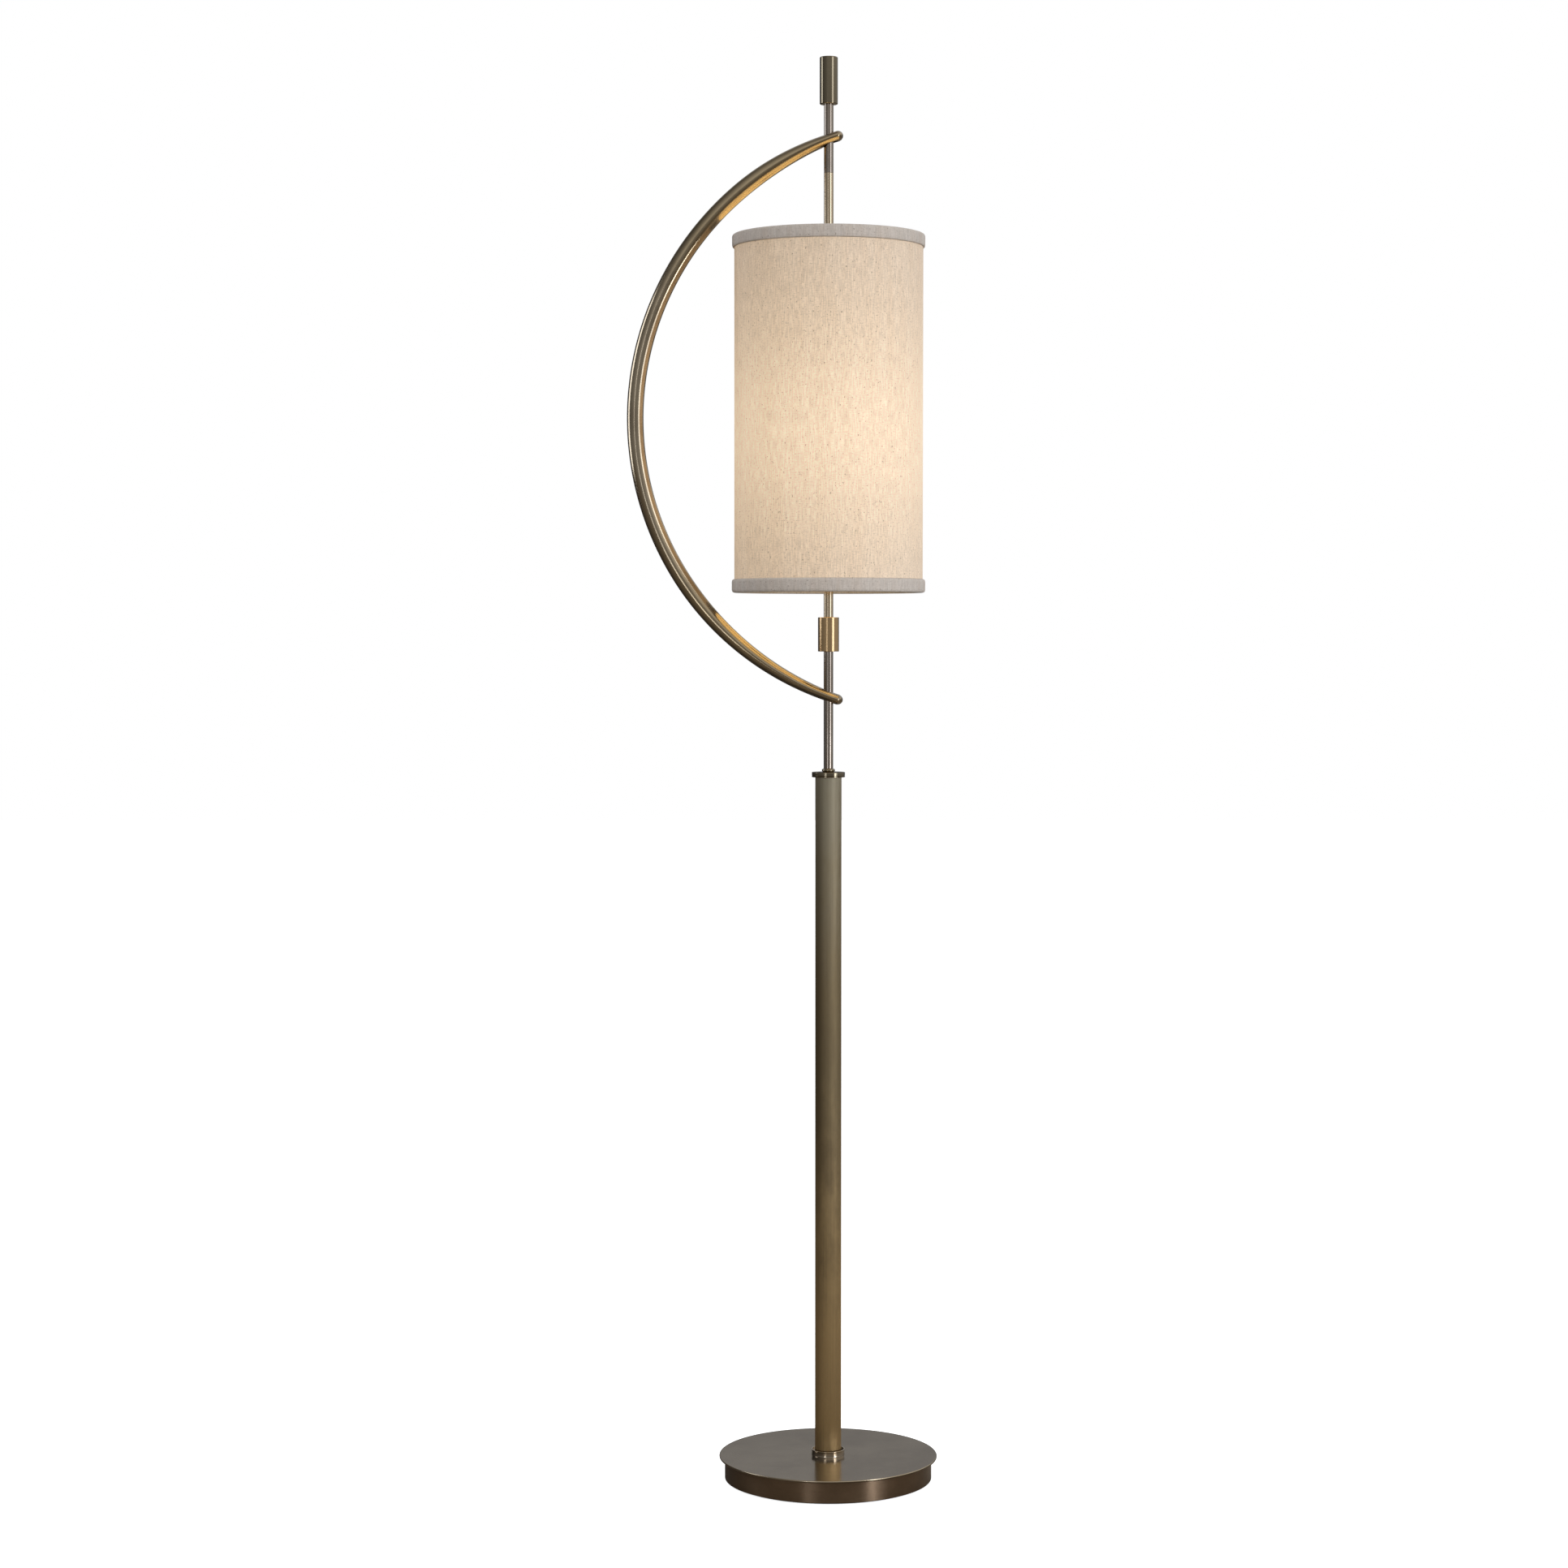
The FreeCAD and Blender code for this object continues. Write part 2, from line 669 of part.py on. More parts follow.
def make_shade_skins():
    linen = tube("shade_linen", "shade_radius", "linen_radius", "shade_height",
                 z="shade_bottom")
    liner = tube("shade_liner", "linen_radius", "linen_radius - liner_thickness",
                 "shade_height", z="shade_bottom")
    edge = "shade_radius + trim_thickness"
    top_trim = tube("top_trim", edge, "shade_radius", "trim_height",
                    z="shade_top - trim_height")
    bottom_trim = tube("bottom_trim", edge, "shade_radius", "trim_height", z="shade_bottom")
    return [linen, liner, top_trim, bottom_trim]


def make_shade_rings():
    rings = []
    for name, level in (("top_ring", "shade_top - ring_wire"), ("bottom_ring", "shade_bottom")):
        ring = primitive("Torus", name, ("0", "0", f"{level} + ring_wire / 2"),
                         Radius1="ring_radius", Radius2="ring_wire / 2")
        ring.Label = name
        rings.append(ring)
    return rings


def make_shade_spider():
    """Hub washer and three wires that rise to the top ring."""
    spider = new_body("shade_spider", z="hub_bottom")
    flat = new_sketch(spider, "hub_outline", "XY_Plane")
    draw_circle(flat, "spider_hub_diameter / 2")
    draw_circle(flat, "pipe_radius + turn_gap")
    hub = spider.newObject("PartDesign::Pad", "hub_pad")
    hub.Profile = flat
    hub.setExpression("Length", bound("spider_hub_thickness"))
    path = new_sketch(spider, "wire_path", "XZ_Plane")
    start = "spider_hub_diameter / 2 - spider_wire / 2"
    rise = "spider_drop - ring_wire - spider_wire / 4"
    draw_elbow(path, start, "ring_radius", "spider_bend", rise)
    path.setExpression("AttachmentOffset.Base.y", bound("spider_hub_thickness / 2"))
    section = new_sketch(spider, "wire_section", "YZ_Plane", start)
    draw_circle(section, "spider_wire / 2", y="spider_hub_thickness / 2")
    wire = spider.newObject("PartDesign::AdditivePipe", "wire_sweep")
    wire.Profile = section
    wire.Spine = path
    doc.recompute()
    spread = spider.newObject("PartDesign::PolarPattern", "wire_spread")
    spread.Originals = [wire]
    spread.Axis = (flat, ["N_Axis"])
    spread.Angle = 360
    spread.Occurrences = 3
    spider.Tip = spread
    turn_about_z(spider, 90)
    return [spider]


def make_fibre_washers():
    """One under and one over the spider hub, each half the turning gap clear of it."""
    washers = []
    top = "hub_bottom + spider_hub_thickness + turn_gap / 2"
    for name, level in (("lower_fibre", "hub_bottom - washer_gap"), ("upper_fibre", top)):
        washers.append(tube(name, "fibre_washer_diameter / 2", "pipe_radius + slip_gap",
                            "fibre_washer_thickness", z=level))
    return [grouped("fibre_washers", washers)]


# --- Cluster that carries the two sockets ---

def make_cluster():
    outer = "cluster_radius"
    bore = "pipe_radius + thread_gap"
    inner = f"{outer} - cluster_wall"
    corners = [(bore, "0"), (outer, "0"), (outer, "cluster_height"), (inner, "cluster_height"),
               (inner, "cluster_wall"), (bore, "cluster_wall")]
    housing = turned("cluster_housing", corners, z="cluster_bottom")
    eased(housing, "Fillet", "cluster_wall / 2", [(outer, "0")])
    for reverse in (False, True):
        cut_round(housing, "YZ_Plane", "arm_radius + thread_gap", outer,
                  y="cluster_height / 2", reverse=reverse)
    cover = tube("cluster_cover", outer, bore, "cover_thickness", z="cover_bottom")
    eased(cover, "Chamfer", "cluster_wall / 2", [(outer, "cover_thickness")])
    return [housing, cover]


SIDES = (("left", -1), ("right", 1))


def elbow_body(name, start, corner, bend, rise, radii, x="0", y="0", z="0"):
    """A bent wire or tube, its section drawn where the run along X begins."""
    body = new_body(name, x, y, z)
    path = new_sketch(body, name + "_path", "XZ_Plane")
    draw_elbow(path, start, corner, bend, rise)
    pipe_along(body, path, "YZ_Plane", start, radii)
    return body


def make_socket_arms():
    arms = []
    for side, sign in SIDES:
        arm = elbow_body(f"{side}_arm", "cluster_radius - cluster_wall - 1", "arm_reach",
                         "arm_bend", "arm_rise + 3", ["arm_radius", "arm_bore / 2"],
                         z="arm_level")
        turn_about_z(arm, 0 if sign > 0 else 180)
        arms.append(arm)
    return arms


def make_socket(side, sign):
    """Cup, shell, card sleeve, moulded core and screw shell of one socket."""
    x = f"{sign} * arm_reach"
    outer = "socket_radius"
    hole = "arm_radius + thread_gap"
    neck = "cup_neck / 2"
    wall = "socket_wall * 2"
    cup = turned(f"{side}_cup", [
        (hole, "0"), (neck, "0"), (neck, "3"), (outer, "cup_height - 4"), (outer, "cup_height"),
        (f"{outer} - {wall}", "cup_height"), (f"{outer} - {wall}", "cup_height - 3.5"),
        (neck, f"3 + {wall}"), (hole, f"3 + {wall}")], x=x, z="cup_bottom")
    shell = tube(f"{side}_shell", outer, f"{outer} - socket_wall", "socket_height",
                 x=x, z="shell_bottom")
    card = tube(f"{side}_card", "card_radius", "card_bore", "socket_height",
                x=x, z="shell_bottom")
    core_radius = "card_bore - thread_gap"
    core = turned(f"{side}_core", [("0", "0"), (core_radius, "0"), (core_radius, "core_height"),
                                   ("0", "core_height")], x=x, z="shell_bottom")
    drilled = "knob_stem / 2 + turn_gap"
    for piece in (shell, card, core):
        cut_round(piece, "YZ_Plane", drilled, outer, y="core_height / 2", reverse=sign > 0)
    screw = tube(f"{side}_screw_shell", "screw_radius + screw_wall", "screw_radius",
                 "screw_height", x=x, z="core_top")
    return [cup, shell, card, core, screw]


def make_switch_knob(side, sign):
    """Round knob on its stem, standing out from the side of the socket."""
    stem = "knob_stem / 2"
    radius = "knob_diameter / 2"
    near = "socket_radius + knob_stand_off"
    inside = "socket_radius / 2"
    corners = [("0", inside), (stem, inside), (stem, near), (radius, near),
               (radius, f"{near} + knob_length"), ("0", f"{near} + knob_length")]
    knob = turned(f"{side}_switch_knob", corners, x=f"{sign} * arm_reach", z="knob_level")
    eased(knob, "Fillet", "knob_round", [(radius, f"{near} + knob_length")])
    knob.Placement = FreeCAD.Placement(knob.Placement.Base,
                                       FreeCAD.Rotation(Vector(0, 1, 0), sign * 90))
    return knob


def make_bulb_base(side, sign):
    radius = "bulb_base_radius"
    inner = f"{radius} - bulb_base_wall"
    tip = "bulb_base_height / 5"
    corners = [("0", "0"), (f"{radius} / 3", "0"), (radius, tip), (radius, "bulb_base_height"),
               (inner, "bulb_base_height"), (inner, f"{tip} + 1"), ("0", f"{tip} + 1")]
    return turned(f"{side}_bulb_base", corners, x=f"{sign} * arm_reach", z="bulb_bottom")


def bulb_profile(inset):
    """Edges of half a bulb from its neck to its crown, drawn in by inset."""
    globe = worth("bulb_diameter / 2")
    centre = Vector(0, 0, worth("bulb_length") - globe)
    neck = Vector(worth("bulb_base_radius") - inset, 0, 0)
    lean = math.radians(-28)
    shoulder = centre + Vector(math.cos(lean), 0, math.sin(lean)) * (globe - inset)
    crown = centre + Vector(0, 0, globe - inset)
    waist = centre + Vector(globe - inset, 0, 0)
    flank = Part.BSplineCurve()
    flank.interpolate(Points=[neck, shoulder],
                      Tangents=[Vector(0, 0, 1), Vector(-math.sin(lean), 0, math.cos(lean))])
    return [flank.toShape(), Part.Arc(shoulder, waist, crown).toShape()], neck, crown


def make_bulb_glass(side, sign):
    outer, outer_neck, outer_crown = bulb_profile(0)
    inner, inner_neck, inner_crown = bulb_profile(worth("bulb_wall"))
    mouth = Part.makeLine(outer_neck, inner_neck)
    pole = Part.makeLine(inner_crown, outer_crown)
    face = Part.Face(Part.Wire(Part.sortEdges(outer + [pole] + inner + [mouth])[0]))
    glass = doc.addObject("Part::Feature", f"{side}_bulb_glass")
    glass.Label = f"{side}_bulb_glass"
    glass.Shape = face.revolve(Vector(), Vector(0, 0, 1), 360)
    place = Vector(sign * worth("arm_reach"), 0, worth("glass_bottom"))
    glass.Placement = FreeCAD.Placement(place, FreeCAD.Rotation())
    return glass


def make_lights():
    pieces = []
    for side, sign in SIDES:
        pieces += make_socket(side, sign)
        pieces.append(make_switch_knob(side, sign))
        pieces.append(make_bulb_base(side, sign))
        pieces.append(make_bulb_glass(side, sign))
    return pieces


# --- Leads held inside the lamp ---

def tail_heading(sign):
    """Direction in which a lead's tail leaves the stud, in degrees from +X."""
    return f"(90 - {sign} * lead_splay)"


def make_main_leads():
    """Two leads from the recess in the base, up through the pipes, to the terminal block."""
    leads = []
    for side, sign in SIDES:
        lead = elbow_body(f"{side}_main_lead", "-lead_run", "0", "lead_bend",
                          "terminal_bottom - lead_low", ["lead_diameter / 2"],
                          x=f"{sign} * lead_spacing / 2", z="lead_low")
        turn_about_z(lead, worth(tail_heading(sign)) + 180)
        leads.append(lead)
    return [grouped("main_leads", leads)]


def make_wire_connectors():
    """Closed-end connectors on the tails of the main leads."""
    caps = []
    outer = "connector_diameter / 2"
    bore = "lead_diameter / 2 + thread_gap"
    for side, sign in SIDES:
        heading = tail_heading(sign)
        back = "(lead_run - connector_grip)"
        cap = turned(f"{side}_connector", [
            (bore, "0"), (outer, "0"), (f"{outer} * 0.7", "connector_length"),
            ("0", "connector_length"), ("0", "connector_grip"), (bore, "connector_grip")],
            x=f"{sign} * lead_spacing / 2 + {back} * cos({heading})",
            y=f"{back} * sin({heading})", z="lead_low")
        turn = math.radians(worth(heading))
        aim = FreeCAD.Rotation(Vector(0, 0, 1), Vector(math.cos(turn), math.sin(turn), 0))
        cap.Placement = FreeCAD.Placement(cap.Placement.Base, aim)
        caps.append(cap)
    return [grouped("wire_connectors", caps)]


def make_socket_leads():
    """Two leads through each arm, from the terminal block to the socket's core."""
    leads = []
    for side, sign in SIDES:
        for index, shift in enumerate((-1, 1)):
            lead = elbow_body(f"{side}_socket_lead_{index}", "terminal_length / 2", "arm_reach",
                              "arm_bend", "arm_rise + cup_height", ["lead_diameter / 2"],
                              y=f"{shift} * lead_spacing / 2", z="arm_level")
            turn_about_z(lead, 0 if sign > 0 else 180)
            leads.append(lead)
    return [grouped("socket_leads", leads)]


def make_terminal_block():
    corner = ("-terminal_length / 2", "-terminal_width / 2", "terminal_bottom")
    block = primitive("Box", "terminal_block", corner, Length="terminal_length",
                      Width="terminal_width", Height="terminal_height")
    block.Label = "terminal_block"
    return [block]


# --- Build, check and write ---

MAKERS = (
    make_floor_pad, make_base_weight, make_base_skirt, make_cord_bushing, make_base_plate,
    make_base_fixings, make_column, make_base_collar, make_column_cap, make_neck_bead,
    make_neck, make_bow, make_axis_rods, make_finial, make_shade_skins, make_shade_rings,
    make_shade_spider, make_fibre_washers, make_cluster, make_socket_arms, make_lights,
    make_main_leads, make_wire_connectors, make_socket_leads, make_terminal_block)

pieces = [piece for make in MAKERS for piece in make()]
doc.recompute()

for item in doc.Objects:
    if "Invalid" in item.State or "Error" in item.State:
        raise ValueError(f"{item.Label} did not recompute")
for piece in pieces:
    if piece.Shape.isNull() or not piece.Shape.isValid():
        raise ValueError(f"{piece.Label} has no valid shape")

os.makedirs("parts", exist_ok=True)
for piece in pieces:
    piece.Shape.exportStep(f"parts/{piece.Label}.step")
    box = piece.Shape.BoundBox
    print(f"{piece.Label:22s} solids {len(piece.Shape.Solids)}  volume {piece.Shape.Volume:12.1f}"
          f"  z {box.ZMin:8.2f} {box.ZMax:8.2f}  x {box.XMin:8.2f} {box.XMax:8.2f}")
print(len(pieces), "nodes")
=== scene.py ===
import math
import bmesh
import bpy
from mathutils import Matrix, Vector


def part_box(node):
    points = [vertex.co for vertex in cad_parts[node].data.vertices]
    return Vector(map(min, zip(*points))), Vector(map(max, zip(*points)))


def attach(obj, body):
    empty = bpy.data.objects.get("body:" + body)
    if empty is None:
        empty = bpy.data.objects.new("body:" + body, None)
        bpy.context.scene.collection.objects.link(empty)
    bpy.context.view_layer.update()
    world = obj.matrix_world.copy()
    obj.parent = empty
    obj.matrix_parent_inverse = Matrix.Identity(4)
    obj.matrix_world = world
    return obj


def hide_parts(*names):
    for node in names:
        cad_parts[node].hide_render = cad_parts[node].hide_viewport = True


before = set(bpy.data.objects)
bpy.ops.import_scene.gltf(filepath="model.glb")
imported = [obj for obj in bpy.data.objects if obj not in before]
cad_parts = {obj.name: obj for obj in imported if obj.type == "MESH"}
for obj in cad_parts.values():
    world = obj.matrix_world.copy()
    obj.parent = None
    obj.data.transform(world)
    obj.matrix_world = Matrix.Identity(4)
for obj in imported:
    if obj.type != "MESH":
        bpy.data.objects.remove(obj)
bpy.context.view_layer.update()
millimetre = 0.001
print("frame loaded,", len(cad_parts), "nodes")


# Shader helpers: sums on sockets are written as Python sums

class Wire:
    def __init__(self, owner, socket):
        self.owner = owner
        self.socket = socket

    def maths(self, operation, *values, clamp=False):
        settings = {"operation": operation, "use_clamp": clamp}
        return self.owner.node("ShaderNodeMath", settings, dict(enumerate(values)))

    def __add__(self, other):
        return self.maths("ADD", self, other)

    def __radd__(self, other):
        return self.maths("ADD", other, self)

    def __sub__(self, other):
        return self.maths("SUBTRACT", self, other)

    def __rsub__(self, other):
        return self.maths("SUBTRACT", other, self)

    def __mul__(self, other):
        return self.maths("MULTIPLY", self, other)

    def __rmul__(self, other):
        return self.maths("MULTIPLY", other, self)

    def __truediv__(self, other):
        return self.maths("DIVIDE", self, other)

    def __pow__(self, other):
        return self.maths("POWER", self, other)

    def sine(self):
        return self.maths("SINE", self)

    def exponent(self):
        return self.maths("EXPONENT", self)

    def absolute(self):
        return self.maths("ABSOLUTE", self)

    def arcTangent(self, other):
        return self.maths("ARCTAN2", self, other)

    def within(self, low, high):  # 0 below low, 1 above high, smooth between
        settings = {"interpolation_type": "SMOOTHSTEP"}
        return self.owner.node("ShaderNodeMapRange", settings, {0: self, 1: low, 2: high})


class Nodes:
    def __init__(self, tree):
        self.tree = tree

    def node(self, kind, settings=None, inputs=None, output=0):
        made = self.tree.nodes.new(kind)
        for key, value in (settings or {}).items():
            setattr(made, key, value)
        for key, value in (inputs or {}).items():
            if isinstance(value, Wire):
                self.tree.links.new(value.socket, made.inputs[key])
            else:
                made.inputs[key].default_value = value
        return Wire(self, made.outputs[output]) if len(made.outputs) else None

    def mix(self, factor, first, second, blend="MIX"):
        settings = {"data_type": "RGBA", "blend_type": blend}
        return self.node("ShaderNodeMix", settings, {0: factor, 6: first, 7: second}, 2)

    def vector(self, x, y, z):
        return self.node("ShaderNodeCombineXYZ", None, {0: x, 1: y, 2: z})

    def axes(self, place):
        return [self.node("ShaderNodeSeparateXYZ", None, {0: place}, axis) for axis in range(3)]

    def noise(self, place, scale, detail=3.0, rough=0.5):
        inputs = {"Vector": place, "Scale": scale, "Detail": detail, "Roughness": rough}
        return self.node("ShaderNodeTexNoise", None, inputs)


class Finish(Nodes):
    def __init__(self, name, slotName, **constants):
        self.material = bpy.data.materials.new(name)
        self.material.use_nodes = True
        self.slotName = slotName
        super().__init__(self.material.node_tree)
        self.shader = self.tree.nodes["Principled BSDF"]
        self.place = self.node("ShaderNodeTexCoord", None, None, "Object")
        self.x, self.y, self.z = self.axes(self.place)
        for key, value in constants.items():
            self.shader.inputs[key.replace("_", " ")].default_value = value

    def feed(self, socket, value):
        if isinstance(value, Wire):
            self.tree.links.new(value.socket, self.shader.inputs[socket])
        else:
            self.shader.inputs[socket].default_value = value

    def bump(self, height, distance, strength=1.0):
        inputs = {"Height": height, "Distance": distance, "Strength": strength}
        self.feed("Normal", self.node("ShaderNodeBump", None, inputs))

    def around(self):  # angle about the vertical axis, its jump at the back
        return self.x.arcTangent(self.y * -1.0)

    def outward(self):  # distance from the vertical axis
        return (self.x * self.x + self.y * self.y) ** 0.5

    def bell(self, middle, spread):  # 1 at the middle's height, fading above and below
        offset = (self.z - middle) / spread
        return (offset * offset * -1.0).exponent()


def tone(red, green, blue):
    return (red, green, blue, 1.0)


# Mesh helpers

sharpAngle = math.radians(38)
nearlyNothing = 1e-5  # how far apart two points may be and still count as one place


def arc(centreRadius, centreHeight, across, tall, start, stop, count):
    # points of an elliptic arc in the outline's plane, angles in degrees
    angles = [math.radians(start + (stop - start) * step / count) for step in range(count + 1)]
    return [(centreRadius + across * math.cos(angle), centreHeight + tall * math.sin(angle))
            for angle in angles]


def turned(outline, steps=96, closed=False, angle=2 * math.pi):
    shape = bmesh.new()
    points = [shape.verts.new((radius, 0, height)) for radius, height in outline]
    pairs = list(zip(points, points[1:]))
    if closed:
        pairs.append((points[-1], points[0]))
    edges = [shape.edges.new(pair) for pair in pairs]
    whole = angle == 2 * math.pi
    bmesh.ops.spin(shape, geom=points + edges, cent=(0, 0, 0), axis=(0, 0, 1),
                   dvec=(0, 0, 0), angle=angle, steps=steps, use_merge=whole)
    if whole:
        bmesh.ops.remove_doubles(shape, verts=shape.verts, dist=1e-6)
        bmesh.ops.recalc_face_normals(shape, faces=shape.faces)
    return shape


def onRing(vertex, ring):
    radius, height = ring
    reach = math.hypot(vertex.co.x, vertex.co.y)
    return abs(reach - radius) < nearlyNothing and abs(vertex.co.z - height) < nearlyNothing


def roundRings(shape, rings, amount, segments=3):
    picked = [edge for edge in shape.edges
              if any(all(onRing(vertex, ring) for vertex in edge.verts) for ring in rings)]
    bmesh.ops.bevel(shape, geom=picked, offset=amount, offset_type="OFFSET", segments=segments,
                    profile=0.5, affect="EDGES", material=-1, clamp_overlap=True)


def asObject(name, shape, finish):
    mesh = bpy.data.meshes.new(name)
    shape.to_mesh(mesh)
    shape.free()
    mesh.materials.append(finish.material)
    for face in mesh.polygons:
        face.use_smooth = True
    mesh.set_sharp_from_angle(angle=sharpAngle)
    made = bpy.data.objects.new(name, mesh)
    bpy.context.scene.collection.objects.link(made)
    return made


def placed(name, shape, finish, body, nodes, even=True):
    made = asObject(name, shape, finish)
    if even:
        made.modifiers.new("even shading", "WEIGHTED_NORMAL").keep_sharp = True
    return seated(made, body, nodes)


def seated(made, body, nodes):
    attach(made, body)
    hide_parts(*nodes)
    return made


def carve(made, cutter):
    # takes the cutter's shape out of the piece and drops the cutter
    cut = made.modifiers.new("carve", "BOOLEAN")
    cut.operation = "DIFFERENCE"
    cut.solver = "EXACT"
    cut.object = cutter
    view = bpy.context.evaluated_depsgraph_get()
    carved = bpy.data.meshes.new_from_object(made.evaluated_get(view))
    made.modifiers.clear()
    made.data = carved
    carved.set_sharp_from_angle(angle=sharpAngle)
    bpy.data.objects.remove(cutter)


def extent(node):
    # radius of a round upright piece, its lower and upper height, and its axis in x
    low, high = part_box(node)
    radius = max(high.x - low.x, high.y - low.y) / 2
    return radius, low.z, high.z, (low.x + high.x) / 2


# Finishes

brass = {
    "floorReflectionGold": tone(0.54, 0.385, 0.195),
    "olive": tone(0.34, 0.3, 0.215),
    "dark": tone(0.16, 0.115, 0.07),
    "light": tone(0.72, 0.49, 0.25),
    "middle": tone(0.215, 0.163, 0.09),
    "bowLitMiddle": tone(0.48, 0.39, 0.27),
    "bowShadedEnds": tone(0.4, 0.31, 0.185),
    "bowCloud": tone(0.22, 0.16, 0.105),
    "polish": 0.0000015,  # depth of the brush marks on polished brass
    "brushed": 0.00001,
}


def streaked(finish, lengthwise):
    # fine brush marks: along the piece, or round it as a lathe leaves them
    if lengthwise:
        place = finish.vector(finish.x * 520, finish.y * 520, finish.z * 7)
    else:
        place = finish.vector(finish.around() * 2, finish.outward() * 700, finish.z * 900)
    return finish.noise(place, 1.0, 2.0, 0.5)


def makeBrass(name, slotName, base, shade, rough, lengthwise=True, wear=0.25):
    finish = Finish(name, slotName, Metallic=1.0, Coat_Weight=0.5, Coat_Roughness=0.12)
    marks = streaked(finish, lengthwise)
    cloud = finish.noise(finish.place, 28.0, 4.0, 0.62)
    colour = finish.mix(cloud.within(0.35, 0.75) * wear, base, shade)
    colour = finish.mix(marks * 0.3, colour, shade)
    finish.feed("Base Color", colour)
    finish.feed("Roughness", rough + (marks - 0.5) * 0.06 + (cloud - 0.5) * 0.06)
    finish.bump(marks, brass["polish"])
    return finish


def makeColumnBrass():
    finish = Finish("columnBrass", "aged_brass", Metallic=1.0, Anisotropic=0.9)
    marks = streaked(finish, True)
    cloud = finish.noise(finish.vector(finish.x * 22, finish.y * 22, finish.z * 9), 1.0, 5.0, 0.65)
    # painted reflection and shade by height: the gold at the foot stands for the floor reflected
    # there, and the middle and olive tones follow how bright each height looks
    height = finish.z + (cloud - 0.5) * 0.3
    colour = finish.mix(height.within(0.15, 0.5), brass["floorReflectionGold"], brass["middle"])
    colour = finish.mix(height.within(0.55, 0.9), colour, brass["olive"])
    colour = finish.mix(cloud.within(0.4, 0.8) * 0.35, colour, brass["dark"])
    colour = finish.mix(marks.within(0.45, 0.9) * 0.3, colour, brass["dark"])
    finish.feed("Base Color", colour)
    finish.feed("Roughness", 0.47 + (marks - 0.5) * 0.2 + (cloud - 0.5) * 0.1)
    finish.bump(marks, brass["brushed"])
    return finish


def makeBowBrass(centreX, centreZ, reach):
    finish = Finish("bowBrass", "aged_brass", Metallic=1.0, Coat_Weight=0.5, Coat_Roughness=0.12)
    across = finish.x - centreX
    rise = finish.z - centreZ
    length = rise.arcTangent(across * -1.0)
    depth = (across * across + rise * rise) ** 0.5 - reach
    marks = finish.noise(finish.vector(depth * 420, finish.y * 420, length * 3), 1.0, 2.0, 0.5)
    cloud = finish.noise(finish.vector(depth * 30, finish.y * 30, length * 7), 1.0, 5.0, 0.65)
    # painted light: the bow is lighter in its middle and darker and warmer towards both ends,
    # following how light falls along it
    ends = length.absolute().within(0.25, 0.75)
    colour = finish.mix(ends, brass["bowLitMiddle"], brass["bowShadedEnds"])
    colour = finish.mix(cloud.within(0.4, 0.75) * 0.5, colour, brass["bowCloud"])
    colour = finish.mix(marks.within(0.45, 0.9) * 0.25, colour, brass["dark"])
    finish.feed("Base Color", colour)
    finish.feed("Roughness", 0.17 + (marks - 0.5) * 0.06 + (cloud - 0.5) * 0.06)
    finish.bump(marks, brass["polish"])
    return finish


bronze = {
    "skirt": tone(0.225, 0.155, 0.1),
    "skirtDeep": tone(0.135, 0.092, 0.058),
    "skirtMarks": tone(0.3, 0.22, 0.15),
    "plate": tone(0.24, 0.19, 0.13),
    "plateDeep": tone(0.15, 0.112, 0.075),
    "plateGrain": tone(0.3, 0.25, 0.19),
    "paleRim": tone(0.55, 0.46, 0.33),
    "grainDepth": 0.03 * millimetre,
    "paleRimFrom": 1.1 * millimetre,  # how far in from the rim the paler band begins and is full
    "paleRimFull": 0.2 * millimetre,
    "paleRimBelow": 1.6 * millimetre,  # and how far below the top
    "paleRimTop": 0.4 * millimetre,
}


def makeSkirtBronze():
    finish = Finish("skirtBronze", "dark_bronze", Metallic=1.0, Anisotropic=0.9,
                    Anisotropic_Rotation=0.25)
    marks = finish.noise(finish.vector(finish.around() * 5, 0.0, finish.z * 2200), 1.0, 4.0, 0.6)
    cloud = finish.noise(finish.place, 26.0, 5.0, 0.6)
    colour = finish.mix(cloud.within(0.35, 0.8) * 0.6, bronze["skirt"], bronze["skirtDeep"])
    colour = finish.mix(marks.within(0.45, 0.9) * 0.3, colour, bronze["skirtMarks"])
    finish.feed("Base Color", colour)
    finish.feed("Roughness", 0.3 + (marks - 0.5) * 0.14)
    finish.bump(marks, bronze["grainDepth"])
    return finish


def makePlateBronze(edge, top):
    finish = Finish("plateBronze", "dark_bronze", Metallic=1.0)
    cloud = finish.noise(finish.place, 14.0, 6.0, 0.62)
    grain = finish.noise(finish.place, 420.0, 3.0, 0.6)
    rings = finish.noise(finish.vector(finish.outward() * 900, finish.around(), 0.0), 1.0, 2.0, 0.5)
    colour = finish.mix(cloud.within(0.3, 0.75) * 0.7, bronze["plate"], bronze["plateDeep"])
    colour = finish.mix(grain.within(0.5, 0.85) * 0.35, colour, bronze["plateGrain"])
    # a paler band along the top of the rim
    rim = finish.outward().within(edge - bronze["paleRimFrom"], edge - bronze["paleRimFull"])
    paleRimMask = rim * finish.z.within(top - bronze["paleRimBelow"], top - bronze["paleRimTop"])
    finish.feed("Base Color", finish.mix(paleRimMask * 0.75, colour, bronze["paleRim"]))
    rough = 0.17 + (cloud - 0.5) * 0.1 + (grain - 0.5) * 0.08 + (rings - 0.5) * 0.05
    finish.feed("Roughness", rough)
    finish.bump(grain + rings * 0.5, bronze["grainDepth"])
    return finish


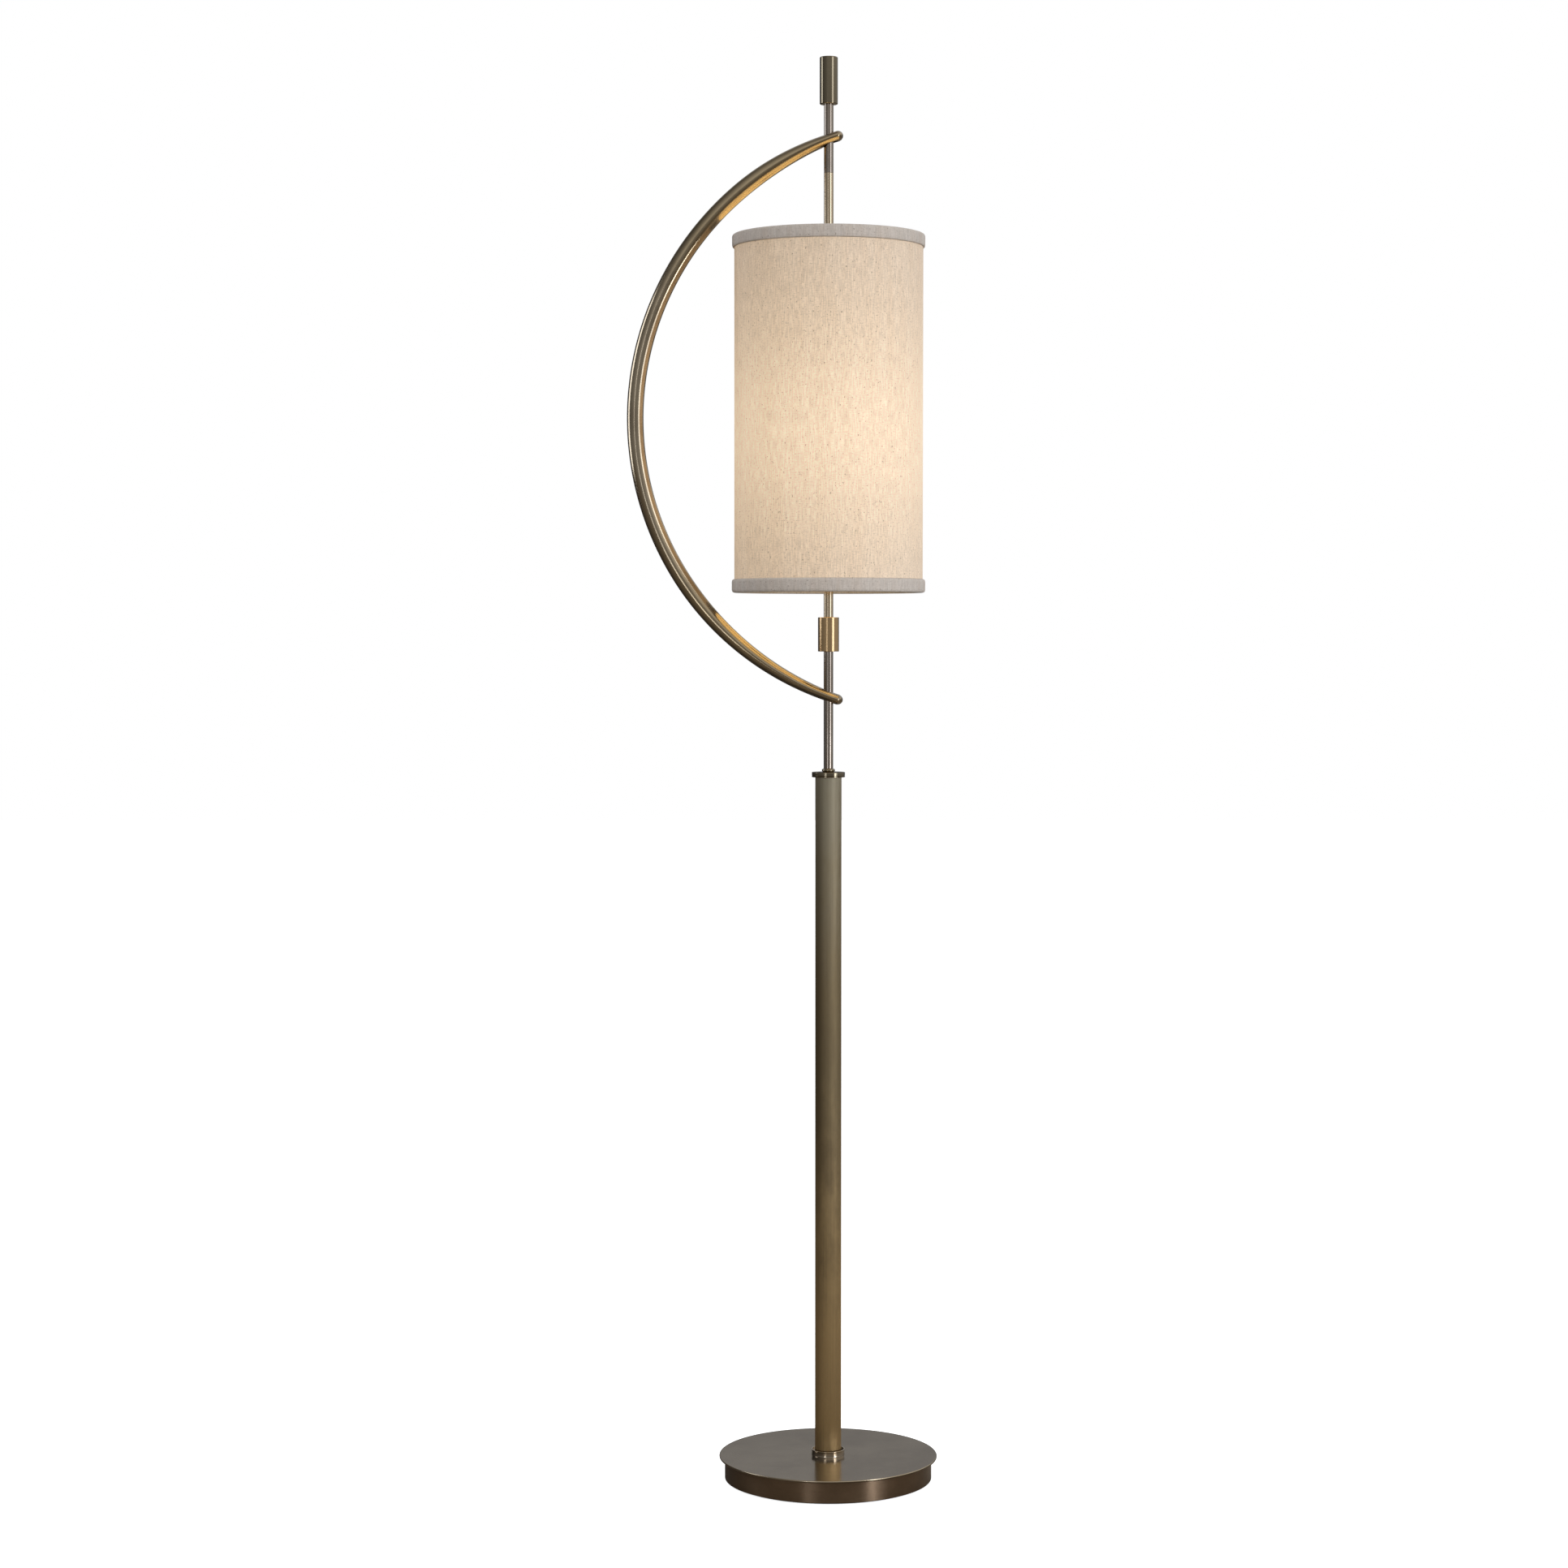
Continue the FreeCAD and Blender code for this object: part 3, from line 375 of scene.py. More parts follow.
linen = {
    "thread": 0.75 * millimetre,
    "pale": tone(0.69, 0.63, 0.565),
    "deep": tone(0.5, 0.43, 0.36),
    "fleck": tone(0.2, 0.14, 0.09),
    "warm": tone(0.56, 0.4, 0.28),
    "glow": tone(1.0, 0.69, 0.37),
    "glowEdge": tone(1.0, 0.62, 0.26),
    "glowStrength": 0.56,
    "relief": 0.35 * millimetre,
    "trimPale": tone(0.7, 0.635, 0.575),
    "trimDeep": tone(0.5, 0.44, 0.385),
}
black = tone(0, 0, 0)


def weave(finish, radius):
    # cloth in its own flat coordinates: u round the drum, v up it
    u = finish.around() * radius
    v = finish.z
    pace = 2 * math.pi / linen["thread"]
    wander = finish.noise(finish.vector(u * 40, v * 40, 0.0), 1.0, 2.0, 0.5)
    warp = (u * pace + wander * 5).sine()
    weft = (v * pace + wander * 5).sine()
    slubUp = finish.noise(finish.vector(u * 720, v * 62, 3.0), 1.0, 2.0, 0.6)
    slubAcross = finish.noise(finish.vector(u * 240, v * 820, 7.0), 1.0, 2.0, 0.6)
    flecks = finish.noise(finish.vector(u * 560, v * 330, 11.0), 1.0, 1.0, 0.5)
    return warp * weft, slubUp, slubAcross, flecks


def makeLinen(name, slotName, radius, pale, deep, lit):
    finish = Finish(name, slotName, Roughness=0.95, Sheen_Weight=0.25, Sheen_Roughness=0.5)
    cross, slubUp, slubAcross, flecks = weave(finish, radius)
    bands = finish.noise(finish.vector(finish.around() * 7, finish.z * 5, 5.0), 1.0, 4.0, 0.65)
    colour = finish.mix(slubUp.within(0.36, 0.64) * 0.6, pale, deep)
    colour = finish.mix(slubAcross.within(0.4, 0.68) * 0.5, colour, deep)
    colour = finish.mix(bands.within(0.35, 0.7) * 0.22, colour, linen["warm"])
    colour = finish.mix(flecks.within(0.66, 0.73) * 0.7, colour, linen["fleck"])
    finish.feed("Base Color", finish.mix((cross + 1) * 0.06, colour, deep))
    # painted glow: this emission stands in for the bulbs' light shining through the cloth,
    # strongest at the bulbs' height and dimmer where slubs, bands and flecks are thick
    if lit:
        middle, spread = lit
        bell = finish.bell(middle, spread)
        threads = 1.12 - slubUp.within(0.36, 0.64) * 0.26 - slubAcross.within(0.4, 0.68) * 0.2
        threads = threads - bands.within(0.35, 0.7) * 0.06
        paintedGlowAmount = (0.44 + 0.56 * bell) * threads * (1 - flecks.within(0.66, 0.73) * 0.45)
        white = finish.mix(bell, linen["glowEdge"], linen["glow"])
        finish.feed("Emission Color", finish.mix(paintedGlowAmount, black, white))
        finish.feed("Emission Strength", linen["glowStrength"])
    finish.bump(cross * 0.35 + slubUp + slubAcross * 0.8, linen["relief"])
    return finish


liner = {"film": tone(0.42, 0.4, 0.35), "mottle": tone(0.36, 0.33, 0.29), "spread": 0.16,
         "glow": tone(1.0, 0.76, 0.38), "glowStrength": 1.1, "relief": 0.05 * millimetre}


def makeLiner(middle):
    finish = Finish("linerFilm", "liner", Roughness=0.6)
    bell = finish.bell(middle, liner["spread"])
    mottle = finish.noise(finish.place, 35.0, 3.0, 0.5)
    finish.feed("Base Color", finish.mix(mottle * 0.3, liner["film"], liner["mottle"]))
    # painted glow: the liner's emission stands in for the bulbs' light on the inside of the shade
    finish.feed("Emission Color", finish.mix(0.7 + 0.3 * bell, black, liner["glow"]))
    finish.feed("Emission Strength", liner["glowStrength"])
    finish.bump(finish.noise(finish.place, 900.0, 2.0, 0.5), liner["relief"])
    return finish


frosted = {"glass": tone(0.95, 0.92, 0.86), "cool": tone(0.8, 0.5, 0.24),
           "hot": tone(1.0, 0.86, 0.62), "hotReach": 0.05, "glowStrength": 0.75}


def makeBulbGlass(middle):
    finish = Finish("bulbGlass", "bulb_glass", Roughness=0.35)
    hot = 1 - (finish.z - middle).absolute().within(0.0, frosted["hotReach"])
    finish.feed("Base Color", frosted["glass"])
    finish.feed("Emission Color", finish.mix(hot, frosted["cool"], frosted["hot"]))
    finish.feed("Emission Strength", frosted["glowStrength"])
    return finish


def makeSpeckled(name, slotName, base, shade, rough, metallic=0.0, scale=300.0, depth=0.00008):
    finish = Finish(name, slotName, Metallic=metallic)
    grain = finish.noise(finish.place, scale, 4.0, 0.6)
    cloud = finish.noise(finish.place, scale / 9, 3.0, 0.5)
    finish.feed("Base Color", finish.mix(grain.within(0.35, 0.7) * 0.6 + cloud * 0.3, base, shade))
    finish.feed("Roughness", rough + (grain - 0.5) * 0.2)
    finish.bump(grain, depth)
    return finish


columnBrass = makeColumnBrass()
rodBrass = makeBrass("rodBrass", "aged_brass", tone(0.43, 0.365, 0.305), brass["dark"], 0.12)
turnedBrass = makeBrass("turnedBrass", "aged_brass", tone(0.24, 0.2, 0.13), brass["dark"],
                        0.13, False)
collarBrass = makeBrass("collarBrass", "aged_brass", tone(0.46, 0.38, 0.28),
                        tone(0.3, 0.23, 0.15), 0.14, False)
lightBrass = makeBrass("lightBrass", "light_brass", brass["light"], tone(0.5, 0.31, 0.14),
                       0.15, False)
# the rods next to the shade: a paler brass, with painted light from the lit shade added to its base
# colour
paleAndShadeLitRodBrass = makeBrass("paleAndShadeLitRodBrass", "light_brass", tone(0.74, 0.6, 0.42),
                          tone(0.5, 0.35, 0.2), 0.14)
socketBrass = makeBrass("socketBrass", "socket_brass", tone(0.8, 0.6, 0.3),
                        tone(0.6, 0.42, 0.2), 0.22, False)
otherFinishes = {
    "felt": makeSpeckled("feltPile", "felt", tone(0.05, 0.05, 0.052), tone(0.09, 0.09, 0.092),
                         0.95, 0.0, 700.0, 0.0005),
    "iron": makeSpeckled("castIron", "iron", tone(0.1, 0.098, 0.095), tone(0.06, 0.055, 0.05),
                         0.75, 0.6, 260.0, 0.0004),
    "steel": makeBrass("zincSteel", "steel", tone(0.6, 0.6, 0.58), tone(0.42, 0.42, 0.4),
                       0.32, False),
    "black_plastic": makeSpeckled("blackPlastic", "black_plastic", tone(0.02, 0.02, 0.02),
                                  tone(0.035, 0.035, 0.035), 0.5),
    "ring_wire": makeSpeckled("whiteEnamel", "ring_wire", tone(0.8, 0.79, 0.76),
                              tone(0.72, 0.7, 0.66), 0.35),
    "fibre": makeSpeckled("redFibre", "fibre", tone(0.45, 0.06, 0.035),
                          tone(0.3, 0.04, 0.025), 0.7),
    "card": makeSpeckled("cardSleeve", "card", tone(0.12, 0.09, 0.065),
                         tone(0.08, 0.06, 0.045), 0.9),
    "phenolic": makeSpeckled("phenolicCore", "phenolic", tone(0.03, 0.025, 0.022),
                             tone(0.05, 0.04, 0.035), 0.4),
    "screw_metal": makeBrass("screwMetal", "screw_metal", tone(0.78, 0.77, 0.73),
                             tone(0.6, 0.59, 0.55), 0.25, False),
    "lead_sheath": makeSpeckled("leadSheath", "lead_sheath", tone(0.55, 0.4, 0.16),
                                tone(0.45, 0.32, 0.12), 0.35),
    "connector_plastic": makeSpeckled("connectorPlastic", "connector_plastic",
                                      tone(0.7, 0.69, 0.65), tone(0.62, 0.6, 0.56), 0.5),
}
print("finishes made")


# Base

base = {"skirtWall": 1.5 * millimetre, "skirtRound": 0.54 * millimetre,
        "plateRound": 1.0 * millimetre, "feltRound": 0.5 * millimetre,
        "inletRadius": 5.61 * millimetre, "inletDepth": 30 * millimetre}


def makeBase():
    radius, bottom, top, _ = extent("floor_pad")
    felt = turned([(0, bottom), (radius, bottom), (radius, top), (0, top)], 128)
    roundRings(felt, [(radius, top)], base["feltRound"])
    placed("feltPad", felt, otherFinishes["felt"], "stand", ["floor_pad"])

    radius, bottom, top, _ = extent("base_skirt")
    inner = radius - base["skirtWall"]
    band = turned([(inner, bottom), (radius, bottom), (radius, top), (inner, top)], 192, True)
    roundRings(band, [(radius, bottom), (inner, bottom)], base["skirtRound"])
    skirt = placed("skirtBand", band, makeSkirtBronze(), "stand", ["base_skirt"], even=False)
    low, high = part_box("cord_bushing")
    inlet = bmesh.new()
    place = Matrix.Translation(((low + high) / 2)) @ Matrix.Rotation(math.pi / 2, 4, "X")
    bmesh.ops.create_cone(inlet, cap_ends=True, segments=48, radius1=base["inletRadius"],
                          radius2=base["inletRadius"], depth=base["inletDepth"], matrix=place)
    carve(skirt, asObject("inletCutter", inlet, otherFinishes["steel"]))
    skirt.modifiers.new("even shading", "WEIGHTED_NORMAL").keep_sharp = True

    radius, bottom, top, _ = extent("base_plate")
    disc = turned([(0, bottom), (radius, bottom), (radius, top), (0, top)], 192)
    roundRings(disc, [(radius, bottom), (radius, top)], base["plateRound"], 4)
    placed("topPlate", disc, makePlateBronze(radius, top), "stand", ["base_plate"])


bushing = {"bore": 4.0 * millimetre, "wall": 1.6 * millimetre, "lip": 1.5 * millimetre,
           "edge": 0.35 * millimetre}


def makeBushing():
    # sleeve with a flange at each end, one on each side of the band
    low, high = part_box("cord_bushing")
    flange = (high.z - low.z) / 2
    bore, wall, lip = bushing["bore"], bushing["wall"], bushing["lip"]
    depth = high.y - low.y
    outline = [(bore, 0), (bore + wall, 0), (flange, 0), (flange, lip), (bore + wall, lip),
               (bore + wall, depth - lip), (flange, depth - lip), (flange, depth), (bore, depth)]
    sleeve = turned(outline, 64, True)
    roundRings(sleeve, [(flange, depth), (bore, depth), (bore, 0), (flange, 0)], bushing["edge"])
    place = Matrix.Translation((0, low.y, (low.z + high.z) / 2))
    turn = place @ Matrix.Rotation(-math.pi / 2, 4, "X")
    bmesh.ops.transform(sleeve, matrix=turn, verts=sleeve.verts)
    placed("inletBushing", sleeve, otherFinishes["black_plastic"], "stand", ["cord_bushing"])


# Column, neck and rods: one outline each, turned about the axis

column = {"wall": 1.2 * millimetre, "rodWall": 0.7 * millimetre, "lip": 1.3 * millimetre,
          "recess": 3.0 * millimetre, "waist": 0.35 * millimetre, "edge": 0.35 * millimetre,
          "waistLow": 1.2 * millimetre, "waistHigh": 1.8 * millimetre, "rim": 0.9 * millimetre,
          "collarEdge": 0.25 * millimetre, "groove": 0.4 * millimetre,
          "grooveLow": 1.6 * millimetre, "grooveMiddle": 1.9 * millimetre,
          "grooveHigh": 2.2 * millimetre, "capEdge": 0.5 * millimetre,
          "couplingEdge": 0.6 * millimetre, "finialEdge": 1.2 * millimetre,
          "finialGap": 0.1 * millimetre, "finialSocket": 12 * millimetre}


def makeTube(name, node, wall, finish, edge):
    radius, bottom, top, _ = extent(node)
    outline = [(radius - wall, bottom), (radius, bottom), (radius, top), (radius - wall, top)]
    tube = turned(outline, 96, True)
    roundRings(tube, [(radius, bottom), (radius, top)], edge, 2)
    placed(name, tube, finish, "stand", [node])


def makeColumn():
    radius = extent("column_tube")[0]
    makeTube("column", "column_tube", column["wall"], columnBrass, column["edge"])
    rim, bottom, top, _ = extent("base_collar")
    inner = rim - column["lip"]
    floor = top - column["recess"]
    waist = rim - column["waist"]
    outline = [(radius, bottom), (rim, bottom), (waist, bottom + column["waistLow"]),
               (waist, top - column["waistHigh"]), (rim, top - column["rim"]), (rim, top),
               (inner, top), (inner, floor), (radius, floor)]
    collar = turned(outline, 96, True)
    roundRings(collar, [(rim, top), (inner, top), (rim, bottom)], column["collarEdge"])
    placed("footCollar", collar, collarBrass, "stand", ["base_collar"])

    rim, bottom, top, _ = extent("column_cap")
    outline = [(0, bottom), (rim, bottom), (rim, bottom + column["grooveLow"]),
               (rim - column["groove"], bottom + column["grooveMiddle"]),
               (rim, bottom + column["grooveHigh"]), (rim, top), (0, top)]
    cap = turned(outline)
    roundRings(cap, [(rim, bottom), (rim, top)], column["capEdge"])
    placed("columnCap", cap, turnedBrass, "stand", ["column_cap"])

    rim, bottom, top, _ = extent("neck_bead")
    rod = extent("neck_rod")[0]
    bulge = (top - bottom) / 2
    outline = [(0, bottom), (rim - bulge, bottom)]
    outline += arc(rim - bulge, bottom + bulge, bulge, bulge, -90, 90, 10)[1:]
    bead = turned(outline + [(rod * 0.8, top), (0, top)])
    placed("neckBead", bead, turnedBrass, "stand", ["neck_bead"])


def makeRods():
    rods = {"neckRod": ("neck_rod", rodBrass), "lowerRod": ("lower_rod", paleAndShadeLitRodBrass),
            "middleRod": ("middle_rod", paleAndShadeLitRodBrass), "shadeRod": ("shade_rod", paleAndShadeLitRodBrass),
            "finialRod": ("finial_rod", rodBrass)}
    for name, (node, finish) in rods.items():
        makeTube(name, node, column["rodWall"], finish, column["edge"])
    rim, bottom, top, _ = extent("rod_coupling")
    coupling = turned([(0, bottom), (rim, bottom), (rim, top), (0, top)])
    roundRings(coupling, [(rim, bottom), (rim, top)], column["couplingEdge"], 2)
    placed("rodCoupling", coupling, lightBrass, "stand", ["rod_coupling"])
    rim, bottom, top, _ = extent("finial")
    bore = extent("finial_rod")[0] + column["finialGap"]
    floor = bottom + column["finialSocket"]
    outline = [(0, floor), (bore, floor), (bore, bottom), (rim, bottom), (rim, top), (0, top)]
    finial = turned(outline)
    roundRings(finial, [(rim, bottom), (rim, top)], column["finialEdge"], 4)
    placed("finialCylinder", finial, turnedBrass, "stand", ["finial"])


# Bow: a round tube bent on one arc, flattened at both ends, slotted round the top rod

bow = {"ringPoints": 48, "rings": 180, "diameter": 19.5 * millimetre, "wall": 1.2 * millimetre,
       "endThickness": 12.2 * millimetre, "endWidth": 25.0 * millimetre, "nose": 7.0 * millimetre,
       "tipReach": 17.6 * millimetre, "topTaper": 20.0, "bottomTaper": 38.0,
       "tipSteps": 8, "slotGap": 0.9 * millimetre, "slotRun": 6.6 * millimetre,
       "slotShift": 1.8 * millimetre, "topRise": 39.25 * millimetre, "lowRise": 85.0 * millimetre}


def bowLine():
    # the circle that the tube's middle follows, from its crossings of the rod and its reach
    crossLow = extent("neck_bead")[2] + bow["lowRise"]
    crossTop = extent("finial_rod")[1] + bow["topRise"]
    half = (crossTop - crossLow) / 2
    depth = -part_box("bow_tube")[0].x - bow["diameter"] / 2
    reach = (half ** 2 + depth ** 2) / (2 * depth)
    return Vector((reach - depth, 0, (crossTop + crossLow) / 2)), reach, math.asin(half / reach)


def makeBow():
    centre, reach, crossing = bowLine()
    end = crossing + (bow["tipReach"] - bow["nose"]) / reach
    shape = bmesh.new()
    start = Matrix.Rotation(math.pi - end, 4, "Y") @ Matrix.Translation((reach, 0, 0))
    bmesh.ops.create_circle(shape, segments=bow["ringPoints"], radius=bow["diameter"] / 2,
                            matrix=start)
    bmesh.ops.spin(shape, geom=list(shape.verts) + list(shape.edges), cent=(0, 0, 0),
                   axis=(0, 1, 0), dvec=(0, 0, 0), angle=2 * end, steps=bow["rings"],
                   use_merge=False)
    for vertex in shape.verts:  # round in the middle, flattened and widened towards both ends
        angle = math.atan2(vertex.co.z, -vertex.co.x)  # 0 at the far side, up is positive
        taper = bow["topTaper"] if angle > 0 else bow["bottomTaper"]
        share = min(max(math.degrees(crossing - abs(angle)) / taper, 0), 1)
        opened = math.sin(math.pi / 2 * share)
        thick = bow["endThickness"] / bow["diameter"] * (1 - opened) + opened
        wide = bow["endWidth"] / bow["diameter"] * (1 - opened) + opened
        out = Vector((-math.cos(angle), 0, math.sin(angle)))
        depth = vertex.co.dot(out) - reach
        vertex.co = out * (reach + depth * thick) + Vector((0, vertex.co.y * wide, 0))
    for side in (-1, 1):
        closeTip(shape, reach, end * side)
    bmesh.ops.remove_doubles(shape, verts=shape.verts, dist=1e-6)
    bmesh.ops.recalc_face_normals(shape, faces=shape.faces)
    bmesh.ops.translate(shape, verts=shape.verts, vec=centre)
    finish = makeBowBrass(centre.x, centre.z, reach)
    made = asObject("bowTube", shape, finish)
    wall = made.modifiers.new("wall", "SOLIDIFY")
    wall.thickness = bow["wall"]
    wall.offset = -1.0
    rod = extent("finial_rod")[0]
    half = reach * math.sin(crossing)
    tall = bow["endWidth"]
    slot = slotCutter(rod + bow["slotGap"], bow["slotRun"], bow["slotShift"], centre.z + half, tall)
    carve(made, slot)
    carve(made, slotCutter(rod, 0, 0, centre.z - half, tall))
    seated(made, "stand", ["bow_tube"])


def closeTip(shape, reach, angle):
    # draws the end ring in along an ellipse to a rounded tip
    side = math.copysign(1, angle)
    out = Vector((-math.cos(angle), 0, math.sin(angle)))
    ahead = Vector((math.sin(angle), 0, math.cos(angle))) * side
    middle = out * reach
    rim = [edge for edge in shape.edges if edge.is_boundary and
           all(abs((vertex.co - middle).dot(ahead)) < nearlyNothing and vertex.co.z * side > 0
               for vertex in edge.verts)]
    steps = bow["tipSteps"]
    for step in range(1, steps + 1):
        grown = bmesh.ops.extrude_edge_only(shape, edges=rim)["geom"]
        ring = [item for item in grown if isinstance(item, bmesh.types.BMVert)]
        rim = [item for item in grown if isinstance(item, bmesh.types.BMEdge)
               and item.verts[0] in ring and item.verts[1] in ring]
        turn = math.pi / 2 * step / steps
        before = math.pi / 2 * (step - 1) / steps
        shrink = max(math.cos(turn), 1e-4) / math.cos(before)
        push = bow["nose"] * (math.sin(turn) - math.sin(before))
        centre = middle + ahead * bow["nose"] * math.sin(before)
        for vertex in ring:
            vertex.co = centre + (vertex.co - centre) * shrink + ahead * push
    bmesh.ops.pointmerge(shape, verts=ring, merge_co=middle + ahead * bow["nose"])


def slotCutter(radius, run, shift, height, tall):
    # an upright cylinder at the rod, pulled apart in x by the slot's run
    shape = bmesh.new()
    bmesh.ops.create_cone(shape, cap_ends=True, segments=64, radius1=radius, radius2=radius,
                          depth=2 * tall, matrix=Matrix.Translation((0, 0, height)))
    for vertex in shape.verts:
        vertex.co.x += shift + math.copysign(run / 2, vertex.co.x)
    return asObject("slotCutter", shape, otherFinishes["steel"])


# Shade: linen on a film liner, edges bound in grey linen, carried on two wire rings

shade = {"overlap": 11 * millimetre, "linenThick": 0.7 * millimetre, "rows": 26, "columns": 216,
         "waver": 0.12 * millimetre, "filmThick": 0.5 * millimetre, "filmGap": 0.15 * millimetre,
         "glowDrop": 30 * millimetre, "glowSpread": 0.13}


def makeDrum():
    radius, bottom, top, _ = extent("shade_linen")
    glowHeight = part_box("left_bulb_glass")[1].z - shade["glowDrop"]
    rise = (top - bottom) / shade["rows"]
    outline = [(radius, bottom + rise * row) for row in range(shade["rows"] + 1)]
    seam = shade["overlap"] / radius
    cloth = turned(outline, shade["columns"], angle=2 * math.pi + seam)
    start = math.pi / 2 - seam / 2  # the lap lies at the back
    bmesh.ops.rotate(cloth, verts=cloth.verts, cent=(0, 0, 0),
                     matrix=Matrix.Rotation(start, 3, "Z"))
    columnCount = shade["rows"] + 1
    cloth.verts.ensure_lookup_table()
    for vertex in cloth.verts:  # a slight waver, and the end of the cloth lifted over its start
        turn = vertex.index // columnCount / shade["columns"] * (2 * math.pi + seam)
        lap = min(max((turn - 2 * math.pi + seam) / seam * 2, 0), 1)
        angle = math.atan2(vertex.co.y, vertex.co.x)
        wave = math.sin(3 * angle + 0.6) * math.cos(9 * vertex.co.z) * shade["waver"]
        lift = wave - shade["waver"] + lap * shade["linenThick"]
        vertex.co.x *= 1 + lift / radius
        vertex.co.y *= 1 + lift / radius
    bmesh.ops.solidify(cloth, geom=cloth.faces, thickness=shade["linenThick"])
    bmesh.ops.recalc_face_normals(cloth, faces=cloth.faces)
    finish = makeLinen("litLinen", "linen", radius, linen["pale"], linen["deep"],
                       (glowHeight, shade["glowSpread"]))
    drum = placed("linenDrum", cloth, finish, "shade", ["shade_linen"], even=False)

    radius, bottom, top, _ = extent("shade_liner")
    inner = radius - shade["filmThick"]
    gap = shade["filmGap"]
    film = turned([(inner, bottom + gap), (radius - gap, bottom + gap), (radius - gap, top - gap),
                   (inner, top - gap)], 144, True)
    placed("linerFilm", film, makeLiner(glowHeight), "shade", ["shade_liner"])


band = {"inner": 104.9 * millimetre, "tail": 9.0 * millimetre, "clear": 0.9 * millimetre,
        "lift": 0.75 * millimetre, "tuck": 0.5 * millimetre, "skin": 0.1 * millimetre,
        "shoulder": 0.8 * millimetre, "outerTurn": 2.6 * millimetre,
        "innerTurn": 1.2 * millimetre, "soft": 1.6 * millimetre, "bend": 0.45 * millimetre,
        "ripple": 0.12 * millimetre, "sunk": 0.1 * millimetre, "thick": 0.6 * millimetre}


def makeBand(name, node, upward, finish):
    # tape folded over the drum's edge and its wire ring
    radius, bottom, top, _ = extent(node)
    edge, tail = (top, bottom) if upward else (bottom, top)
    way = 1 if upward else -1
    drum = extent("shade_linen")[0]
    clear = band["clear"] * way
    inner = band["inner"]
    soft = band["soft"] * way
    outline = [(drum + band["lift"], tail), (radius - band["tuck"], tail + soft * 0.6),
               (radius - band["skin"], tail + soft * 2), (radius - band["skin"], edge - soft),
               (radius - band["shoulder"], edge + clear * 0.3),
               (radius - band["outerTurn"], edge + clear),
               (inner + band["innerTurn"], edge + clear), (inner, edge - soft * 0.6),
               (inner, edge - band["tail"] * way)]
    tape = turned(outline, shade["columns"])
    roundRings(tape, outline[1:-1], band["bend"], 2)
    for vertex in tape.verts:
        angle = math.atan2(vertex.co.y, vertex.co.x)
        wave = math.sin(23 * angle) * math.sin(7 * angle + 1)
        ripple = wave * band["ripple"] - band["sunk"]
        vertex.co.x += ripple * math.cos(angle)
        vertex.co.y += ripple * math.sin(angle)
    made = placed(name, tape, finish, "shade", [node], even=False)
    cloth = made.modifiers.new("cloth", "SOLIDIFY")
    cloth.thickness = band["thick"]
    cloth.offset = -1.0 if upward else 1.0


def makeShade():
    makeDrum()
    radius = extent("top_trim")[0]
    finish = makeLinen("greyLinen", "trim_linen", radius, linen["trimPale"],
                       linen["trimDeep"], None)
    makeBand("topBand", "top_trim", True, finish)
    makeBand("bottomBand", "bottom_trim", False, finish)


# Lamp cluster, sockets, switches and bulbs

cluster = {"round": 2.0 * millimetre, "lip": 1.2 * millimetre, "step": 1.5 * millimetre,
           "crown": 0.82, "edge": 0.3 * millimetre}


def shifted(shape, x):
    bmesh.ops.translate(shape, verts=shape.verts, vec=(x, 0, 0))
    return shape


def makeCluster():
    radius, bottom, top, _ = extent("cluster_housing")
    housing = turned([(0, bottom), (radius, bottom), (radius, top), (0, top)])
    roundRings(housing, [(radius, bottom)], cluster["round"], 4)
    placed("clusterHousing", housing, socketBrass, "stand", ["cluster_housing"])
    radius, bottom, top, _ = extent("cluster_cover")
    step = radius - cluster["step"]
    lip = bottom + cluster["lip"]
    crown = step * cluster["crown"]
    outline = [(0, bottom), (radius, bottom), (radius, lip), (step, lip), (crown, top), (0, top)]
    cover = turned(outline)
    roundRings(cover, [(radius, lip), (crown, top)], cluster["edge"])
    placed("clusterCover", cover, socketBrass, "stand", ["cluster_cover"])


socket = {"wall": 0.6 * millimetre, "neck": 7.0 * millimetre, "neckHeight": 2.5 * millimetre,
          "straight": 2.0 * millimetre, "bead": 0.7 * millimetre, "lowBead": 3 * millimetre,
          "highBead": 2 * millimetre, "steps": 72}


def makeSocket(side):
    radius, bottom, top, middle = extent(f"{side}_cup")
    neck, wall = socket["neck"], socket["wall"]
    upright = top - socket["straight"]  # where the bowl's wall turns upright
    bowl = upright - bottom - socket["neckHeight"]
    outline = [(neck - wall, bottom), (neck, bottom), (neck, bottom + socket["neckHeight"])]
    outline += arc(neck, upright, radius - neck, bowl, -90, 0, 12)
    outline += [(radius, top), (radius - wall, top)]
    inside = arc(neck, upright, radius - neck - wall, bowl - wall, 0, -90, 12)
    cup = turned(outline + inside, socket["steps"], True)
    placed(f"{side}Cup", shifted(cup, middle), socketBrass, "stand", [f"{side}_cup"])

    radius, bottom, top, middle = extent(f"{side}_shell")
    bead = socket["bead"]
    inner = radius - bead
    outline = [(inner - wall, bottom), (inner, bottom)]
    for height in (bottom + socket["lowBead"], top - socket["highBead"]):
        outline += [(inner, height - bead)] + arc(inner, height, bead, bead, -60, 60, 6)
        outline += [(inner, height + bead)]
    outline += [(inner, top), (inner - wall, top)]
    shell = turned(outline, socket["steps"], True)
    placed(f"{side}Shell", shifted(shell, middle), socketBrass, "stand", [f"{side}_shell"])


switch = {"grip": 14.0 * millimetre, "stem": 1.6 * millimetre, "shoulder": 0.62,
          "slope": 2 * millimetre, "endRound": 1.2 * millimetre, "flutes": 12,
          "fluteDepth": 0.45 * millimetre}


